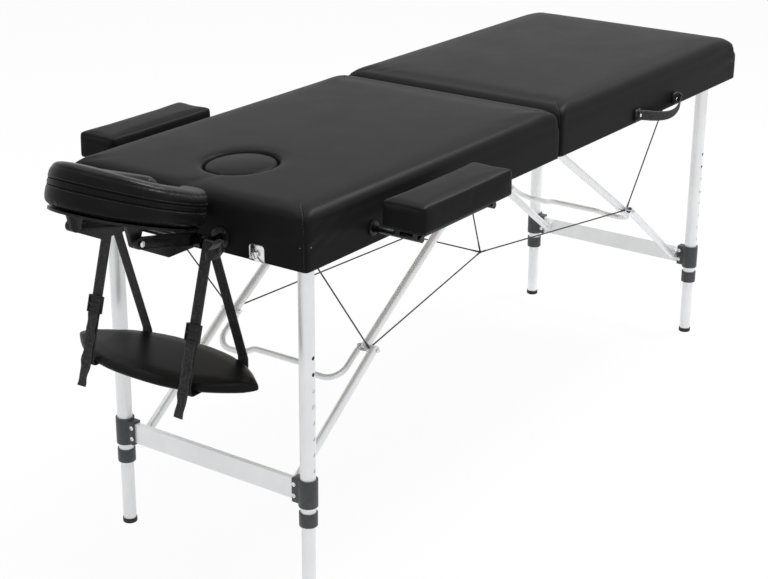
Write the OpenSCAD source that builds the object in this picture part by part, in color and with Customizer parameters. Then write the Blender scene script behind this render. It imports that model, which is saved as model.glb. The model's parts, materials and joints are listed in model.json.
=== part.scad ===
/* [Table top] */
// Length of each half of the padded top
half_l = 925; // [880:5:980]
// Width of the padded top
table_w = 605; // [580:5:700]
// Height of the crown of the padded top above the floor
top_h = 831; // [815:1:860]
// Height of the wooden frame under the deck
frame_h = 59; // [58:1:64]
// Thickness of the plywood deck
deck_t = 6; // [4:0.5:10]
// Thickness of the foam with its cover, crown included
foam_t = 53; // [40:1:70]
// Thickness of the cover that hangs over the frame
skin_t = 2.5; // [1:0.1:4]
// Thickness of the frame rails
rail_t = 18; // [12:1:20]
// Gap between the two halves when open
middle_gap = 3; // [1:0.5:8]
// Rounding of the top edges
edge_r = 26; // [10:1:32]
// Corner radius of the top seen from above
corner_r = 16; // [8:1:30]
// Rise of the crown from the edges to the middle
crown = 4; // [1:0.5:8]

/* [Face hole] */
// Distance of the middle of the face hole from the head end
face_inset = 182; // [160:1:260]
// Length of the face hole along the table
face_l = 166; // [140:1:190]
// Width of the face hole across the table
face_w = 142; // [110:1:180]
// Rolled rim of the face hole
face_rim = 11; // [4:1:16]
// Gap between the plug cushion and the rim
plug_gap = 4; // [2:0.5:8]

/* [Legs] */
// Distance of the leg centres from the ends of the table
leg_inset = 72; // [60:1:90]
// Distance of the leg centres from the long sides
leg_side = 57.5; // [52:0.5:62]
// Diameter of the outer leg tube
leg_d = 32; // [28:0.5:34]
// Wall of the outer leg tube
leg_wall = 1.6; // [1:0.1:2.5]
// Gap between the outer and the inner leg tube
leg_slide_gap = 0.3; // [0.2:0.05:0.6]
// Wall of the inner leg tube
inner_wall = 1.5; // [1:0.1:2.5]
// Height of the lower end of the outer leg tube
outer_bottom = 160; // [150:1:175]
// Height of the upper end of the inner leg tube
inner_top = 455; // [440:1:480]
// Height of the snap button above the floor
button_z = 408; // [395:1:420]
// Distance between two height holes
hole_pitch = 34.3; // [30:0.1:36]
// Height holes above the button
holes_above = 3; // [1:1:4]
// Height holes below the button
holes_below = 4; // [1:1:5]
// Diameter of the snap button
button_d = 8; // [5:0.5:10]
// Height that the button stands out of the leg
button_proud = 3; // [1:0.5:5]
// Diameter of the leg axle
axle_d = 10; // [6:0.5:12]
// Height of the leg axle above the lower edge of the frame
axle_up = 23; // [22:0.5:24]
// Diameter of the rubber foot
foot_d = 31; // [26:0.5:34]
// Height of the rubber foot below the tube
foot_h = 11; // [6:1:20]

/* [Cross bars and braces] */
// Height of the middle of the cross bar
bar_z = 220; // [205:1:235]
// Height of the section of the cross bar
bar_h = 44; // [30:1:46]
// Thickness of the section of the cross bar
bar_t = 12; // [8:0.5:14]
// Diameter of the brace tubes
brace_d = 19; // [14:0.5:19.5]
// Wall of the brace tubes
brace_wall = 1.2; // [0.8:0.1:2]
// Offset of the lower brace pivot from the leg centre line
brace_offset = 17; // [16.8:0.1:18]
// Distance of the upper brace pivot from the middle hinge
brace_root_x = 60; // [50:1:75]
// Distance of the upper braces from the centre line of the table
upper_y = 176; // [165:1:180]
// Distance between the planes of the upper and the lower braces
brace_step = 22.5; // [22:0.1:23]
// Rise of the knee above the straight line
knee_rise = 10; // [6:1:20]
// Diameter of the brace bolts and rivets
bolt_d = 6; // [4:0.5:8]
// Diameter of the bow between the knees
bow_d = 13; // [10:0.5:16]
// Reach of the bow beyond the knee bolts
bow_reach = 95; // [80:1:100]
// Diameter of the steel cables
cable_d = 2.6; // [1.5:0.1:4]

/* [Face cradle] */
// Distance of the middle of the cradle cushion from the head end
cradle_out = 151; // [150:1:180]
// Length of the cradle cushion
cradle_l = 326; // [300:1:328]
// Width of the cradle cushion
cradle_w = 252; // [230:1:280]
// Height of the cradle cushion
cradle_h = 76; // [40:1:80]
// Extra height of the cradle cushion at its head end
cradle_rise = 12; // [0:1:16]
// Width of the padded ring
cradle_ring_w = 70; // [50:1:84]
// Depth of the underside of the cradle cushion, at its middle, below the crown of the top
cradle_drop = 27; // [16:1:31]
// Slope of the cradle at rest
cradle_slope = 18; // [12:1:20]
// Half the distance between the two posts
post_y = 100; // [90:1:110]
// Diameter of the cradle posts
post_d = 16; // [12:0.5:18]
// Height of the posts above the lower edge of the frame
post_up = 29; // [26:1:32]
// Thickness of the platform
platform_t = 5; // [3:0.5:6]

/* [Sling shelf] */
// Distance of the middle of the shelf from the head end
shelf_out = 57; // [40:1:65]
// Height of the middle of the shelf above the floor
shelf_z = 487; // [420:1:560]
// Width of the shelf along the table
shelf_l = 192; // [160:1:220]
// Length of the shelf across the table
shelf_w = 440; // [380:5:480]
// Thickness of the shelf
shelf_t = 24; // [15:1:34]
// Width of the webbing
strap_w = 25; // [18:1:30]
// Thickness of the webbing
strap_t = 2; // [1:0.5:3]

/* [Armrests] */
// Distance of the near end of the arm pad from the middle hinge
pad_x = 429; // [400:1:440]
// Length of the arm pad
pad_l = 323; // [290:1:340]
// Width of the arm pad
pad_w = 101; // [80:1:120]
// Thickness of the arm pad
pad_t = 59.5; // [40:0.5:66]
// Gap between the table side and the arm pad
pad_gap = 38.5; // [25:0.5:60]
// Height of the underside of the arm pad above the lower edge of the frame
pad_up = 49; // [46:1:54]
// Distance of each arm post from the end of the pad
arm_post_inset = 34; // [25:1:60]
// Diameter of the arm posts
arm_post_d = 14; // [10:0.5:16]

/* [Fittings] */
// Distance of the latches from the centre line of the table
latch_y = 187; // [150:1:200]
// Width of the latch plates
latch_w = 36; // [28:1:44]
// Start of the carry handle from the middle hinge
handle_x = 352; // [300:1:380]
// Length of the carry handle
handle_l = 223; // [180:1:260]
// Height of the handle webbing
handle_h = 34; // [20:1:40]
// Radius of the middle hinge knuckles
knuckle_r = 5; // [4:0.5:6]

/* [Hidden] */

// Clearances and overruns that several pieces share
over = 1;
run_gap = 0.05;
soft_gap = 0.3;
part_gap = 0.5;
slide_gap = 0.2;
$fn = 48;

// Heights of the panels
under_z = top_h - foam_t - deck_t - frame_h;
deck_z = under_z + frame_h;
foam_z = deck_z + deck_t;

// Places along and across one half
face_x = half_l - face_inset;
cradle_x = half_l + cradle_out;
cradle_z = top_h - cradle_drop;
shelf_x = half_l + shelf_out;
inner_x = middle_gap / 2;
side_y = table_w / 2;
frame_x0 = inner_x + skin_t;
frame_x1 = half_l - skin_t;
frame_y = side_y - skin_t;
rail_in_y = frame_y - rail_t;
leg_x = half_l - leg_inset;
leg_y = side_y - leg_side;
axle_z = under_z + axle_up;

// Legs
leg_r = leg_d / 2;
leg_top_over = 14;
inner_r = leg_r - leg_wall - leg_slide_gap;
axle_r = axle_d / 2;
button_r = button_d / 2;
button_play = 0.3;
hinge_gap = 1;

// Knee brace, in the plane of x and z; folded, both links lie level under the deck
brace_r = brace_d / 2;
bolt_r = bolt_d / 2;
lower_y = upper_y + brace_step;
upper_pivot = [brace_root_x, axle_z + brace_offset];
lower_pivot = [leg_x - brace_offset, bar_z];
folded_span = leg_x - (axle_z - bar_z) - brace_root_x;
open_span = norm(lower_pivot - upper_pivot);
knee_b2 = (open_span * open_span - folded_span * folded_span) / 4;
knee_run = open_span / 2 + folded_span / 2 * sqrt(1 + knee_rise * knee_rise / knee_b2);
span_dir = (lower_pivot - upper_pivot) / open_span;
span_up = [-span_dir[1], span_dir[0]];
knee = upper_pivot + knee_run * span_dir + knee_rise * span_up;

// Face cradle
post_r = post_d / 2;
post_z = under_z + post_up;
swing_out = 60;
swing_up = 10;
swing_x = half_l + swing_out;
swing_z = post_z + swing_up;

// Reach of the object to both ends, which centres it on its own box
hook_reach = 12;
head_reach = cradle_x + cradle_l / 2 * cos(cradle_slope);
hinge_x = (head_reach - half_l - hook_reach) / 2;

// Places one half of the object; the head half is the mirrored one
module half(side) {
    translate([hinge_x, 0, 0])
    if (side < 0) mirror([1, 0, 0]) children();
    else children();
}

// A piece and its mirror image across the table
module both_sides() {
    children();
    mirror([0, 1, 0]) children();
}

// The far (1) or the near (-1) one of two mirrored pieces
module on_side(across) {
    if (across < 0) mirror([0, 1, 0]) children();
    else children();
}

module rod_x(r, x1, x2) {
    translate([x1, 0, 0]) rotate([0, 90, 0]) cylinder(r = r, h = x2 - x1);
}

module rod_y(r, y1, y2) {
    translate([0, y1, 0]) rotate([-90, 0, 0]) cylinder(r = r, h = y2 - y1);
}

// A plate with the outline drawn in x and z, and its thickness across the table
module plate_y(y1, y2) {
    translate([0, y2, 0]) rotate([90, 0, 0]) linear_extrude(y2 - y1) children();
}

// A straight rod from one point to another
module rod_between(p, q, r) {
    d = q - p;
    translate(p) rotate([0, acos(d[2] / norm(d)), atan2(d[1], d[0])])
        cylinder(r = r, h = norm(d));
}

// A rounded rectangle seen from above
module rounded_plan(x0, x1, y, r) {
    translate([x0 + r, -y]) square([x1 - x0 - 2 * r, 2 * y]);
    translate([x0, r - y]) square([x1 - x0, 2 * (y - r)]);
    for (x = [x0 + r, x1 - r], s = [-1, 1]) translate([x, s * (y - r)]) circle(r);
}

// A slot outline between two points
module slot_plan(p, q, r) {
    d = q - p;
    translate(p) circle(r);
    translate(q) circle(r);
    translate(p) rotate(atan2(d[1], d[0])) translate([0, -r]) square([norm(d), 2 * r]);
}

// A rod that runs and bends in turn: each step is a run, a bend radius and a turn
module bent_rod(r, steps, i = 0) {
    if (i < len(steps)) {
        run = steps[i][0];
        bend = steps[i][1];
        turn = steps[i][2];
        rod_x(r, 0, run);
        translate([run, 0, 0]) mirror([0, turn < 0 ? 1 : 0, 0]) {
            if (turn != 0) {
                translate([0, bend, 0]) rotate(-90) rotate_extrude(angle = abs(turn))
                    translate([bend, 0]) circle(r);
            }
            translate([bend * sin(abs(turn)), bend * (1 - cos(turn)), 0]) rotate(abs(turn))
                mirror([0, turn < 0 ? 1 : 0, 0]) bent_rod(r, steps, i + 1);
        }
    }
}

// Soft forms: closed rings of equal length, one above the other

corner_steps = 6;
side_steps = 6;

// A rounded rectangle whose sides are drawn in between the corners
function soft_ring(x0, x1, y, r, z, draw) = let (
    cx = [x1 - r, x0 + r, x0 + r, x1 - r],
    cy = [y - r, y - r, r - y, r - y],
    on_arc = function (q, a) [cx[q] + r * cos(a), cy[q] + r * sin(a), z])
    [for (q = [0:3]) each concat(
        [for (i = [0:corner_steps]) on_arc(q, 90 * (q + i / corner_steps))],
        [for (i = [1:side_steps - 1]) let (
            t = i / side_steps,
            a = 90 * (q + 1),
            pull = draw * sin(180 * t),
            p = on_arc(q, a) * (1 - t) + on_arc((q + 1) % 4, a) * t)
            p - [pull * cos(a), pull * sin(a), 0]])];

function oval_ring(x, rx, ry, z, steps) =
    [for (i = [0:steps - 1]) [x + rx * cos(360 * i / steps), ry * sin(360 * i / steps), z]];

// Triangles between rings of n points, closed at each end by a fan round a middle point
function ring_faces(rings, n) = concat(
    [for (k = [0:rings - 2], i = [0:n - 1]) each let (
        a = k * n + i,
        b = k * n + (i + 1) % n)
        [[a, a + n, b], [b, a + n, b + n]]],
    [for (i = [0:n - 1]) [rings * n, i, (i + 1) % n]],
    [for (i = [0:n - 1]) let (top = (rings - 1) * n)
        [rings * n + 1, top + (i + 1) % n, top + i]]);

function middle(points) = [for (p = points) 1] * points / len(points);

module rings_solid(rings) {
    n = len(rings[0]);
    ends = [middle(rings[0]), middle(rings[len(rings) - 1])];
    polyhedron(
        points = concat([for (r = rings) each r], ends),
        faces = ring_faces(len(rings), n),
        convexity = 4);
}

// The rounding of an edge, as shares of its radius: inward, then upward
roll_steps = 5;
function roll_in(i) = 1 - cos(90 * i / roll_steps);
function roll_up(i) = sin(90 * i / roll_steps);

// A padded block with rolled top edges and a crown
crown_shares = [0.82, 0.55, 0.25];
module padded_block(x0, x1, y, r, z0, z1, roll, rise, draw, waist_z) {
    cx = (x0 + x1) / 2;
    hx = (x1 - x0) / 2;
    edge_z = z1 - rise;
    rings_solid(concat(
        [soft_ring(x0, x1, y, r, z0, 0)],
        [soft_ring(x0, x1, y, r, waist_z, 0)],
        [soft_ring(x0, x1, y, r, (waist_z + edge_z - roll) / 2, draw)],
        [for (i = [0:roll_steps]) let (in = roll * roll_in(i))
            soft_ring(x0 + in, x1 - in, y - in, max(r - in, r / 3),
                edge_z - roll + roll * roll_up(i), draw * (1 - roll_in(i)))],
        [for (t = crown_shares)
            soft_ring(cx - (hx - roll) * t, cx + (hx - roll) * t, (y - roll) * t,
                r * t / 3, edge_z + rise * (1 - t * t), 0)]));
}

// Frame and deck of one half

module frame_plan() {
    rounded_plan(frame_x0, frame_x1, frame_y, corner_r - skin_t);
}

arm_post_x = [pad_x + arm_post_inset, pad_x + pad_l - arm_post_inset];
arm_post_r = arm_post_d / 2;
arm_rail_t = 10;
arm_post_z = under_z + pad_up - arm_rail_t - arm_post_r;
sleeve_wall = 2.5;
post_sleeve_r = post_r + slide_gap + sleeve_wall;
arm_sleeve_r = arm_post_r + slide_gap + sleeve_wall;

// Round holes through the head half for the sleeves of the posts, grown by a gap
module sleeve_holes(gap) {
    both_sides() {
        translate([0, post_y, post_z])
            rod_x(post_sleeve_r + gap, frame_x1 - rail_t - over, half_l + over);
        for (x = arm_post_x) translate([x, 0, arm_post_z])
            rod_y(arm_sleeve_r + gap, rail_in_y - over, side_y + over);
    }
}

deck_ledge = 10;
face_steps = 40;

module deck(side) {
    half(side) difference() {
        translate([0, 0, deck_z]) linear_extrude(deck_t) frame_plan();
        if (side < 0) translate([0, 0, deck_z - over]) linear_extrude(deck_t + 2 * over)
            polygon([
                for (p = oval_ring(face_x, face_l / 2 - deck_ledge, face_w / 2 - deck_ledge,
                    0, face_steps)) [p[0], p[1]]]);
    }
}

module head_deck() {
    color("burlywood") deck(-1);
}

module foot_deck() {
    color("burlywood") deck(1);
}

// The middle rail leaves room for the folded legs beside it
middle_rail_y = leg_y - leg_r - leg_side / 4;

module rails(side) {
    half(side) difference() {
        translate([0, 0, under_z]) linear_extrude(frame_h) difference() {
            frame_plan();
            translate([frame_x0 - over, -rail_in_y])
                square([frame_x1 - rail_t - frame_x0 + over, 2 * rail_in_y]);
        }
        if (side < 0) sleeve_holes(run_gap);
    }
    half(side) translate([frame_x0, -middle_rail_y, under_z])
        cube([rail_t, 2 * middle_rail_y, frame_h]);
}

module head_rails() {
    color("tan") rails(-1);
}

module foot_rails() {
    color("tan") rails(1);
}

// The foam with the cover that hangs down around the frame
skirt_draw = skin_t / 2;

module top_cushion() {
    difference() {
        padded_block(inner_x, half_l, side_y, corner_r, under_z, top_h,
            edge_r, crown, skirt_draw, foam_z);
        translate([0, 0, under_z - over]) linear_extrude(foam_z - under_z + over) frame_plan();
    }
}

// The cutter of the face hole, which flares into the rolled rim
module face_cut() {
    edge_z = top_h - face_rim;
    rx = face_l / 2;
    ry = face_w / 2;
    rings_solid(concat(
        [oval_ring(face_x, rx, ry, foam_z - over, face_steps)],
        [for (i = [0:roll_steps - 1]) let (out = face_rim * roll_in(i))
            oval_ring(face_x, rx + out, ry + out, edge_z + face_rim * roll_up(i), face_steps)],
        [oval_ring(face_x, rx + face_rim, ry + face_rim, top_h + over, face_steps)]));
}

module head_cushion() {
    color("#1c1c1e") half(-1) difference() {
        top_cushion();
        face_cut();
        sleeve_holes(run_gap);
    }
}

module foot_cushion() {
    color("#1c1c1e") half(1) top_cushion();
}

module face_plug() {
    rx = face_l / 2 - plug_gap;
    ry = face_w / 2 - plug_gap;
    z0 = foam_z + soft_gap;
    edge_z = top_h - crown;
    roll = (edge_z - z0) / 3;
    color("#1c1c1e") half(-1) rings_solid(concat(
        [oval_ring(face_x, rx - crown, ry - crown, z0, face_steps)],
        [oval_ring(face_x, rx, ry, z0 + crown, face_steps)],
        [for (i = [0:roll_steps]) let (in = roll * roll_in(i))
            oval_ring(face_x, rx - in, ry - in, edge_z - roll + roll * roll_up(i), face_steps)],
        [for (t = crown_shares) oval_ring(face_x, (rx - roll) * t, (ry - roll) * t,
            edge_z + crown * (1 - t * t), face_steps)]));
}

// Brackets under the deck: one pair for the legs, one pair for the upper braces

ear_t = 3;
foot_plate_t = 3;
ear_out = 12;

// Two ears round a pivot with their plate on the deck and the pin through both
module ear_pair(x, y, z, half_gap, pin, out, sheet) {
    for (s = [-1, 1]) {
        y1 = y + (s > 0 ? half_gap : -half_gap - sheet);
        plate_y(y1, y1 + sheet) {
            translate([x, z]) circle(out);
            translate([x - out, z]) square([2 * out, deck_z - foot_plate_t - z]);
        }
    }
    translate([x - 2 * out, y - half_gap - sheet, deck_z - foot_plate_t])
        cube([4 * out, 2 * (half_gap + sheet), foot_plate_t]);
    translate([x, 0, z])
        rod_y(pin, y - half_gap - sheet - pin / 2, y + half_gap + sheet + pin / 2);
}

module pivots(side) {
    half(side) both_sides() {
        ear_pair(leg_x, leg_y, axle_z, leg_r + hinge_gap, axle_r, ear_out, ear_t);
        ear_pair(brace_root_x, upper_y, upper_pivot[1], brace_r + part_gap,
            bolt_r, brace_r, brace_wall);
    }
}

module head_pivots() {
    color("silver") pivots(-1);
}

module foot_pivots() {
    color("silver") pivots(1);
}

// Middle hinge: knuckles in turn along one pin under the joint of the two halves

leaf_t = 2;
leaf_w = 20;
knuckle_l = 20;
knuckle_count = 5;
hinge_out = 130;
hinge_y = [-hinge_out, hinge_out];
hinge_l = knuckle_count * knuckle_l;
pin_r = knuckle_r / 2;
hinge_z = under_z - knuckle_r;

// The knuckles of one side at one hinge: the foot side has the even ones
module knuckles(first) {
    for (i = [first:2:knuckle_count - 1]) {
        y1 = (i - knuckle_count / 2) * knuckle_l + part_gap / 2;
        translate([0, 0, hinge_z]) rod_y(knuckle_r, y1, y1 + knuckle_l - part_gap);
        translate([0, y1, under_z - leaf_t])
            cube([leaf_w + frame_x0, knuckle_l - part_gap, leaf_t]);
    }
}

module leaf_plate() {
    translate([frame_x0 + knuckle_r, -hinge_l / 2, under_z - leaf_t])
        cube([leaf_w - knuckle_r, hinge_l, leaf_t]);
}

module head_hinges() {
    color("silver") half(-1) for (y = hinge_y) translate([0, y, 0]) difference() {
        union() {
            knuckles(1);
            leaf_plate();
        }
        translate([0, 0, hinge_z]) rod_y(pin_r + run_gap, -hinge_l, hinge_l);
    }
}

module foot_hinges() {
    color("silver") half(1) for (y = hinge_y) translate([0, y, 0]) {
        knuckles(0);
        leaf_plate();
        translate([0, 0, hinge_z]) rod_y(pin_r, -hinge_l / 2, hinge_l / 2);
    }
}

// Sleeves for the posts of the cradle and of the armrests, with their flanges outside

flange_t = 4;
flange_grow = 11;
sleeve_l = 62;
arm_sleeve_l = side_y - leg_y - leg_r - 2 * hinge_gap;

module sleeve(r_out, r_in, l, flange_r) {
    difference() {
        union() {
            rod_x(r_out, -l, flange_t);
            rod_x(flange_r, 0, flange_t);
        }
        rod_x(r_in, -l - over, flange_t + over);
    }
}

module panel_sockets() {
    color("#2a2a2c") half(-1) both_sides() {
        translate([half_l, post_y, post_z])
            sleeve(post_sleeve_r, post_r + slide_gap, sleeve_l, post_sleeve_r + flange_grow);
        for (x = arm_post_x) translate([x, side_y, arm_post_z]) rotate(90)
            sleeve(arm_sleeve_r, arm_post_r + slide_gap, arm_sleeve_l,
                arm_sleeve_r + flange_grow / 2);
    }
}

// Latches on the two ends, which hold the folded halves together

latch_t = 1.5;
latch_h = 34;
stud_r = 7;
stud_l = 8;
latch_z = under_z + stud_r;

module latch_plate() {
    r = latch_w / 4;
    translate([half_l, 0, under_z]) rotate([90, 0, 90]) linear_extrude(latch_t) {
        translate([-latch_w / 2, 0]) square([latch_w, latch_h - r]);
        for (s = [-1, 1]) translate([s * r, latch_h - r]) circle(r);
        translate([-r, 0]) square([2 * r, latch_h]);
    }
}

module latch_studs() {
    color("silver") half(-1) both_sides() translate([0, latch_y, 0]) {
        latch_plate();
        translate([0, 0, latch_z + stud_r]) {
            rod_x(stud_r / 2, half_l + latch_t, half_l + latch_t + stud_l - leaf_t);
            rod_x(stud_r, half_l + latch_t + stud_l - leaf_t, half_l + latch_t + stud_l);
        }
    }
}

// The hook's plate with its pin, and the hook that swings on it
hook_pin_r = 3;
hook_t = 3;
hook_z = latch_z + 2 * stud_r;

module latch_bases() {
    color("silver") half(1) both_sides() translate([0, latch_y, 0]) {
        latch_plate();
        translate([half_l + latch_t, 0, hook_z]) {
            rod_x(hook_pin_r, 0, 2 * hook_t);
            rod_x(2 * hook_pin_r, hook_t + part_gap, 2 * hook_t);
        }
    }
}

module latch_hook(across) {
    x1 = half_l + latch_t + part_gap / 2;
    notch_z = hook_z - 2 * stud_r;
    color("silver") half(1) on_side(across) translate([0, latch_y, 0]) difference() {
        translate([x1, 0, 0]) rotate([90, 0, 90]) linear_extrude(hook_t) difference() {
            slot_plan([0, hook_z], [0, notch_z - stud_r], 2 * hook_pin_r);
            slot_plan([stud_r / 2, notch_z], [3 * stud_r, notch_z], stud_r / 2);
        }
        translate([0, 0, hook_z]) rod_x(hook_pin_r + run_gap, half_l, x1 + hook_t + over);
    }
}

module near_latch_hook() {
    latch_hook(-1);
}

module far_latch_hook() {
    latch_hook(1);
}

// Carry handle on the near side of the foot half: two end plates and the webbing between

handle_t = 6;
handle_band_t = 3;
handle_end_l = 30;
handle_sag = 12;
handle_steps = 12;
rivet_r = 4;
handle_z = under_z + handle_h / 2 + leaf_t;

// One edge of the sagging webbing, at a height over its middle line
function handle_edge(h) = [for (i = [0:handle_steps])
    [handle_l * i / handle_steps, h - handle_sag * sin(180 * i / handle_steps)]];

function backward(line) = [for (i = [len(line) - 1:-1:0]) line[i]];

module carry_handle() {
    color("#1c1c1e") half(1) translate([handle_x, -side_y, handle_z]) {
        for (x = [0, handle_l - handle_end_l]) translate([x, 0, 0])
            plate_y(-handle_t, 0) difference() {
                translate([0, -handle_h / 2]) square([handle_end_l, handle_h]);
                translate([handle_end_l / 2, 0]) circle(rivet_r / 2 + run_gap);
            }
        plate_y(-handle_t - handle_band_t, -handle_t) difference() {
            polygon(concat(
                handle_edge(handle_h / 2 - rivet_r),
                backward(handle_edge(rivet_r - handle_h / 2))));
            for (x = [handle_end_l / 2, handle_l - handle_end_l / 2])
                translate([x, 0]) circle(rivet_r / 2 + run_gap);
        }
    }
}

module handle_rivets() {
    color("silver") half(1) for (x = [handle_end_l / 2, handle_l - handle_end_l / 2])
        translate([handle_x + x, -side_y, handle_z]) {
            rod_y(rivet_r / 2, -handle_t - handle_band_t, 0);
            rod_y(rivet_r, -handle_t - handle_band_t - leaf_t, -handle_t - handle_band_t);
        }
}

// Legs

module height_hole(z) {
    translate([leg_x, leg_y, z]) rod_y(button_r + button_play, 0, leg_r + over);
}

module leg_tubes(side) {
    top = axle_z + leg_top_over;
    half(side) both_sides() difference() {
        translate([leg_x, leg_y, outer_bottom]) cylinder(r = leg_r, h = top - outer_bottom);
        translate([leg_x, leg_y, outer_bottom - over])
            cylinder(r = leg_r - leg_wall, h = top - outer_bottom + 2 * over);
        translate([leg_x, leg_y, axle_z]) rod_y(axle_r + run_gap, -leg_r - over, leg_r + over);
        for (k = [-holes_below:holes_above - 1]) height_hole(button_z + k * hole_pitch);
        height_hole(button_z + holes_above * hole_pitch);
    }
}

module head_leg_tubes() {
    color("#d8d9db") leg_tubes(-1);
}

module foot_leg_tubes() {
    color("#d8d9db") leg_tubes(1);
}

// Mouldings on a leg: the clamp that holds the cross bar, and the collar below it
clamp_wall = 4;
clamp_h = 59;
clamp_arm_t = 22;
clamp_arm_h = bar_h + 2 * clamp_wall;
bar_seat = 17;
clamp_in_y = leg_y - leg_r - bar_seat;
collar_h = 29;
collar_wall = 3;
collar_drop = 12;

module leg_clamps(side) {
    color("#3a3b3e") half(side) both_sides() {
        difference() {
            union() {
                translate([leg_x, leg_y, bar_z - clamp_h / 2])
                    cylinder(r = leg_r + clamp_wall, h = clamp_h);
                translate([leg_x - clamp_arm_t / 2, clamp_in_y, bar_z - clamp_arm_h / 2])
                    cube([clamp_arm_t, leg_y - clamp_in_y, clamp_arm_h]);
            }
            translate([leg_x, leg_y, bar_z - clamp_h])
                cylinder(r = leg_r + run_gap, h = 2 * clamp_h);
            translate([leg_x - bar_t / 2, clamp_in_y - over, bar_z - bar_h / 2])
                cube([bar_t, leg_y - clamp_in_y, bar_h]);
        }
        difference() {
            translate([leg_x, leg_y, outer_bottom - collar_drop])
                cylinder(r = leg_r + collar_wall, h = collar_h);
            translate([leg_x, leg_y, outer_bottom])
                cylinder(r = leg_r + run_gap, h = collar_h);
            translate([leg_x, leg_y, outer_bottom - collar_drop - over])
                cylinder(r = leg_r - leg_wall, h = collar_h);
        }
    }
}

module head_leg_clamps() {
    leg_clamps(-1);
}

module foot_leg_clamps() {
    leg_clamps(1);
}

// The cross bar with its riveted clevises for the lower braces
bar_wall = 1.5;
clevis_t = 1.2;

module crossbar(side) {
    bar_y = leg_y - leg_r - hinge_gap;
    face_x0 = leg_x - bar_t / 2;
    clevis_y = brace_r + part_gap + clevis_t;
    color("#d8d9db") half(side) {
        difference() {
            translate([face_x0, -bar_y, bar_z - bar_h / 2]) cube([bar_t, 2 * bar_y, bar_h]);
            translate([face_x0 + bar_wall, -bar_y - over, bar_z - bar_h / 2 + bar_wall])
                cube([bar_t - 2 * bar_wall, 2 * (bar_y + over), bar_h - 2 * bar_wall]);
        }
        both_sides() {
            for (s = [-1, 1]) {
                y1 = lower_y + (s > 0 ? clevis_y - clevis_t : -clevis_y);
                plate_y(y1, y1 + clevis_t) {
                    translate(lower_pivot) circle(brace_r - clevis_t);
                    translate([lower_pivot[0], bar_z - brace_r + clevis_t])
                        square([face_x0 - lower_pivot[0], 2 * (brace_r - clevis_t)]);
                }
            }
            translate([face_x0 - clevis_t, lower_y - clevis_y, bar_z - brace_r])
                cube([clevis_t, 2 * clevis_y, 2 * brace_r]);
            translate([lower_pivot[0], 0, bar_z])
                rod_y(bolt_r, lower_y - clevis_y, lower_y + clevis_y);
        }
    }
}

module head_crossbar() {
    crossbar(-1);
}

module foot_crossbar() {
    crossbar(1);
}

// Inner legs, with the hole of the snap button on the outer side

module inner_leg(side, across) {
    color("#d8d9db") half(side) on_side(across) difference() {
        translate([leg_x, leg_y, foot_h]) cylinder(r = inner_r, h = inner_top - foot_h);
        translate([leg_x, leg_y, foot_h - over])
            cylinder(r = inner_r - inner_wall, h = inner_top - foot_h + 2 * over);
        height_hole(button_z);
    }
}

module head_near_inner_leg() {
    inner_leg(-1, -1);
}

module head_far_inner_leg() {
    inner_leg(-1, 1);
}

module foot_near_inner_leg() {
    inner_leg(1, -1);
}

module foot_far_inner_leg() {
    inner_leg(1, 1);
}

foot_plug_l = 22;
foot_round = 2.5;

module rubber_foot(side, across) {
    r = foot_d / 2;
    color("#222222") half(side) on_side(across) translate([leg_x, leg_y, 0]) rotate_extrude() {
        square([r - foot_round, foot_h]);
        translate([0, foot_round]) square([r, foot_h - foot_round]);
        translate([r - foot_round, foot_round]) circle(foot_round);
        square([inner_r - inner_wall, foot_h + foot_plug_l]);
    }
}

module head_near_rubber_foot() {
    rubber_foot(-1, -1);
}

module head_far_rubber_foot() {
    rubber_foot(-1, 1);
}

module foot_near_rubber_foot() {
    rubber_foot(1, -1);
}

module foot_far_rubber_foot() {
    rubber_foot(1, 1);
}

// The snap button and the leaf behind it, inside the inner leg
leaf_spring_w = 9;
leaf_spring_l = 46;
leaf_spring_t = 1;

module snap_clip(side, across) {
    back = inner_r - inner_wall - 2 * leaf_spring_t - part_gap;
    color("silver") half(side) on_side(across) translate([leg_x, leg_y, button_z]) {
        rod_y(button_r, back, leg_r + button_proud);
        translate([-leaf_spring_w / 2, back, button_r - leaf_spring_l])
            cube([leaf_spring_w, leaf_spring_t, leaf_spring_l + button_r]);
    }
}

module head_near_snap_clip() {
    snap_clip(-1, -1);
}

module head_far_snap_clip() {
    snap_clip(-1, 1);
}

module foot_near_snap_clip() {
    snap_clip(1, -1);
}

module foot_far_snap_clip() {
    snap_clip(1, 1);
}

// Knee braces

bolt_head_t = 4;

// A tube with round ends, drilled at both ends, from one pivot to the other
module brace_tube(p, q, y) {
    l = norm(q - p);
    translate([p[0], y, p[1]]) rotate([0, -atan2(q[1] - p[1], q[0] - p[0]), 0]) difference() {
        intersection() {
            rod_x(brace_r, -brace_r, l + brace_r);
            plate_y(-brace_d, brace_d) slot_plan([0, 0], [l, 0], brace_r);
        }
        rod_x(brace_r - brace_wall, -brace_d, l + brace_d);
        for (x = [0, l]) translate([x, 0, 0]) rod_y(bolt_r + run_gap, -brace_d, brace_d);
    }
}

module upper_braces(side) {
    color("#d8d9db") half(side) both_sides() brace_tube(upper_pivot, knee, upper_y);
}

module lower_braces(side) {
    color("#d8d9db") half(side) both_sides() brace_tube(lower_pivot, knee, lower_y);
}

module head_upper_braces() {
    upper_braces(-1);
}

module foot_upper_braces() {
    upper_braces(1);
}

module head_lower_braces() {
    lower_braces(-1);
}

module foot_lower_braces() {
    lower_braces(1);
}

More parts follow.
